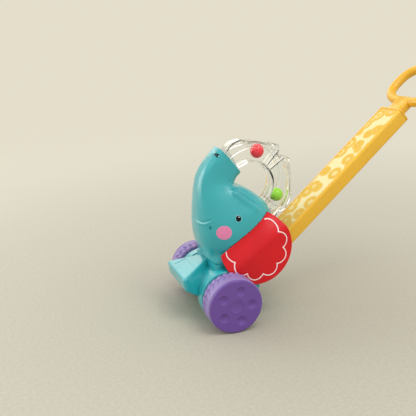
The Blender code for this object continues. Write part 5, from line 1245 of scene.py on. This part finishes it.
corners = [(a * FLOOR_HALF, b * FLOOR_HALF, 0) for a, b in ((-1, -1), (1, -1), (1, 1), (-1, 1))]
floor_mesh = bpy.data.meshes.new("floor")
floor_mesh.from_pydata(corners, [], [(0, 1, 2, 3)])
floor = bpy.data.objects.new("floor", floor_mesh)
bpy.context.scene.collection.objects.link(floor)
floor_mesh.materials.append(floor_material())
print("floor:", 2 * FLOOR_HALF, "m wide, fading from", FADE_FROM, "to", FADE_TO, "m")


# %% Lamps
LIT_SPOT = np.array([0.0, -0.1, 0.1])


def direction(way):
    """Turn that points an object's -Z along a direction."""
    return Vector(way).to_track_quat("-Z", "Y").to_euler()


def lamp(name, kind, place, strength, size):
    """A lamp aimed at the toy; a sun's size is the angle of its soft disc in degrees."""
    light = bpy.data.lights.new(name, kind)
    light.energy = strength
    if kind == "SUN":
        light.angle = math.radians(size)
    else:
        light.size = size
    thing = bpy.data.objects.new(name, light)
    bpy.context.scene.collection.objects.link(thing)
    thing.location = place
    thing.rotation_euler = direction(LIT_SPOT - np.array(place))
    thing.visible_camera = False
    print(name, kind.lower(), strength, "from", place)


lamp("sun", "SUN", (0.35, -1.3, 1.9), 0.20, 40.0)
lamp("front_box", "AREA", (-0.85, -1.5, 0.35), 13.0, 1.3)
lamp("far_box", "AREA", (-1.7, 0.0, 1.15), 6.5, 1.2)
lamp("top_box", "AREA", (0.75, 0.15, 1.5), 10.0, 0.9)

# %% World
WORLD_COLOUR, WORLD_STRENGTH = (0.94, 0.97, 1.0), 0.8
world = bpy.data.worlds.new("room")
bpy.context.scene.world = world
world.use_nodes = True
nodes, links = world.node_tree.nodes, world.node_tree.links
glow = nodes["Background"]
glow.inputs["Color"].default_value = (*WORLD_COLOUR, 1.0)
glow.inputs["Strength"].default_value = WORLD_STRENGTH
backdrop = add_node(nodes, "Background", Color=(*BACKDROP, 1.0))
choice = add_node(nodes, "MixShader")
links.new(seen_rays(nodes, links), choice.inputs[0])
links.new(glow.outputs[0], choice.inputs[1])
links.new(backdrop.outputs[0], choice.inputs[2])
links.new(choice.outputs[0], nodes["World Output"].inputs["Surface"])
bpy.context.scene.view_settings.view_transform = "Standard"
print("world:", WORLD_COLOUR, "at", WORLD_STRENGTH, "and the backdrop", BACKDROP)

# %% The camera
CAMERA_PLACE, CAMERA_AZIMUTH, CAMERA_ELEVATION = (646.4, -243.4, 325.9), 69.93, 15.50
camera_data = bpy.data.cameras.new("camera")
camera_data.sensor_width, camera_data.lens = 36.0, 49.52
camera = bpy.data.objects.new("camera", camera_data)
bpy.context.scene.collection.objects.link(camera)
camera.location = to_room([CAMERA_PLACE])[0]
azimuth, elevation = math.radians(CAMERA_AZIMUTH), math.radians(CAMERA_ELEVATION)
level = math.cos(elevation)
forward = (-math.sin(azimuth) * level, math.cos(azimuth) * level, -math.sin(elevation))
camera.rotation_euler = direction(forward)
bpy.context.scene.camera = camera
print("camera:", camera_data.lens, "mm lens at", [round(part, 3) for part in camera.location])
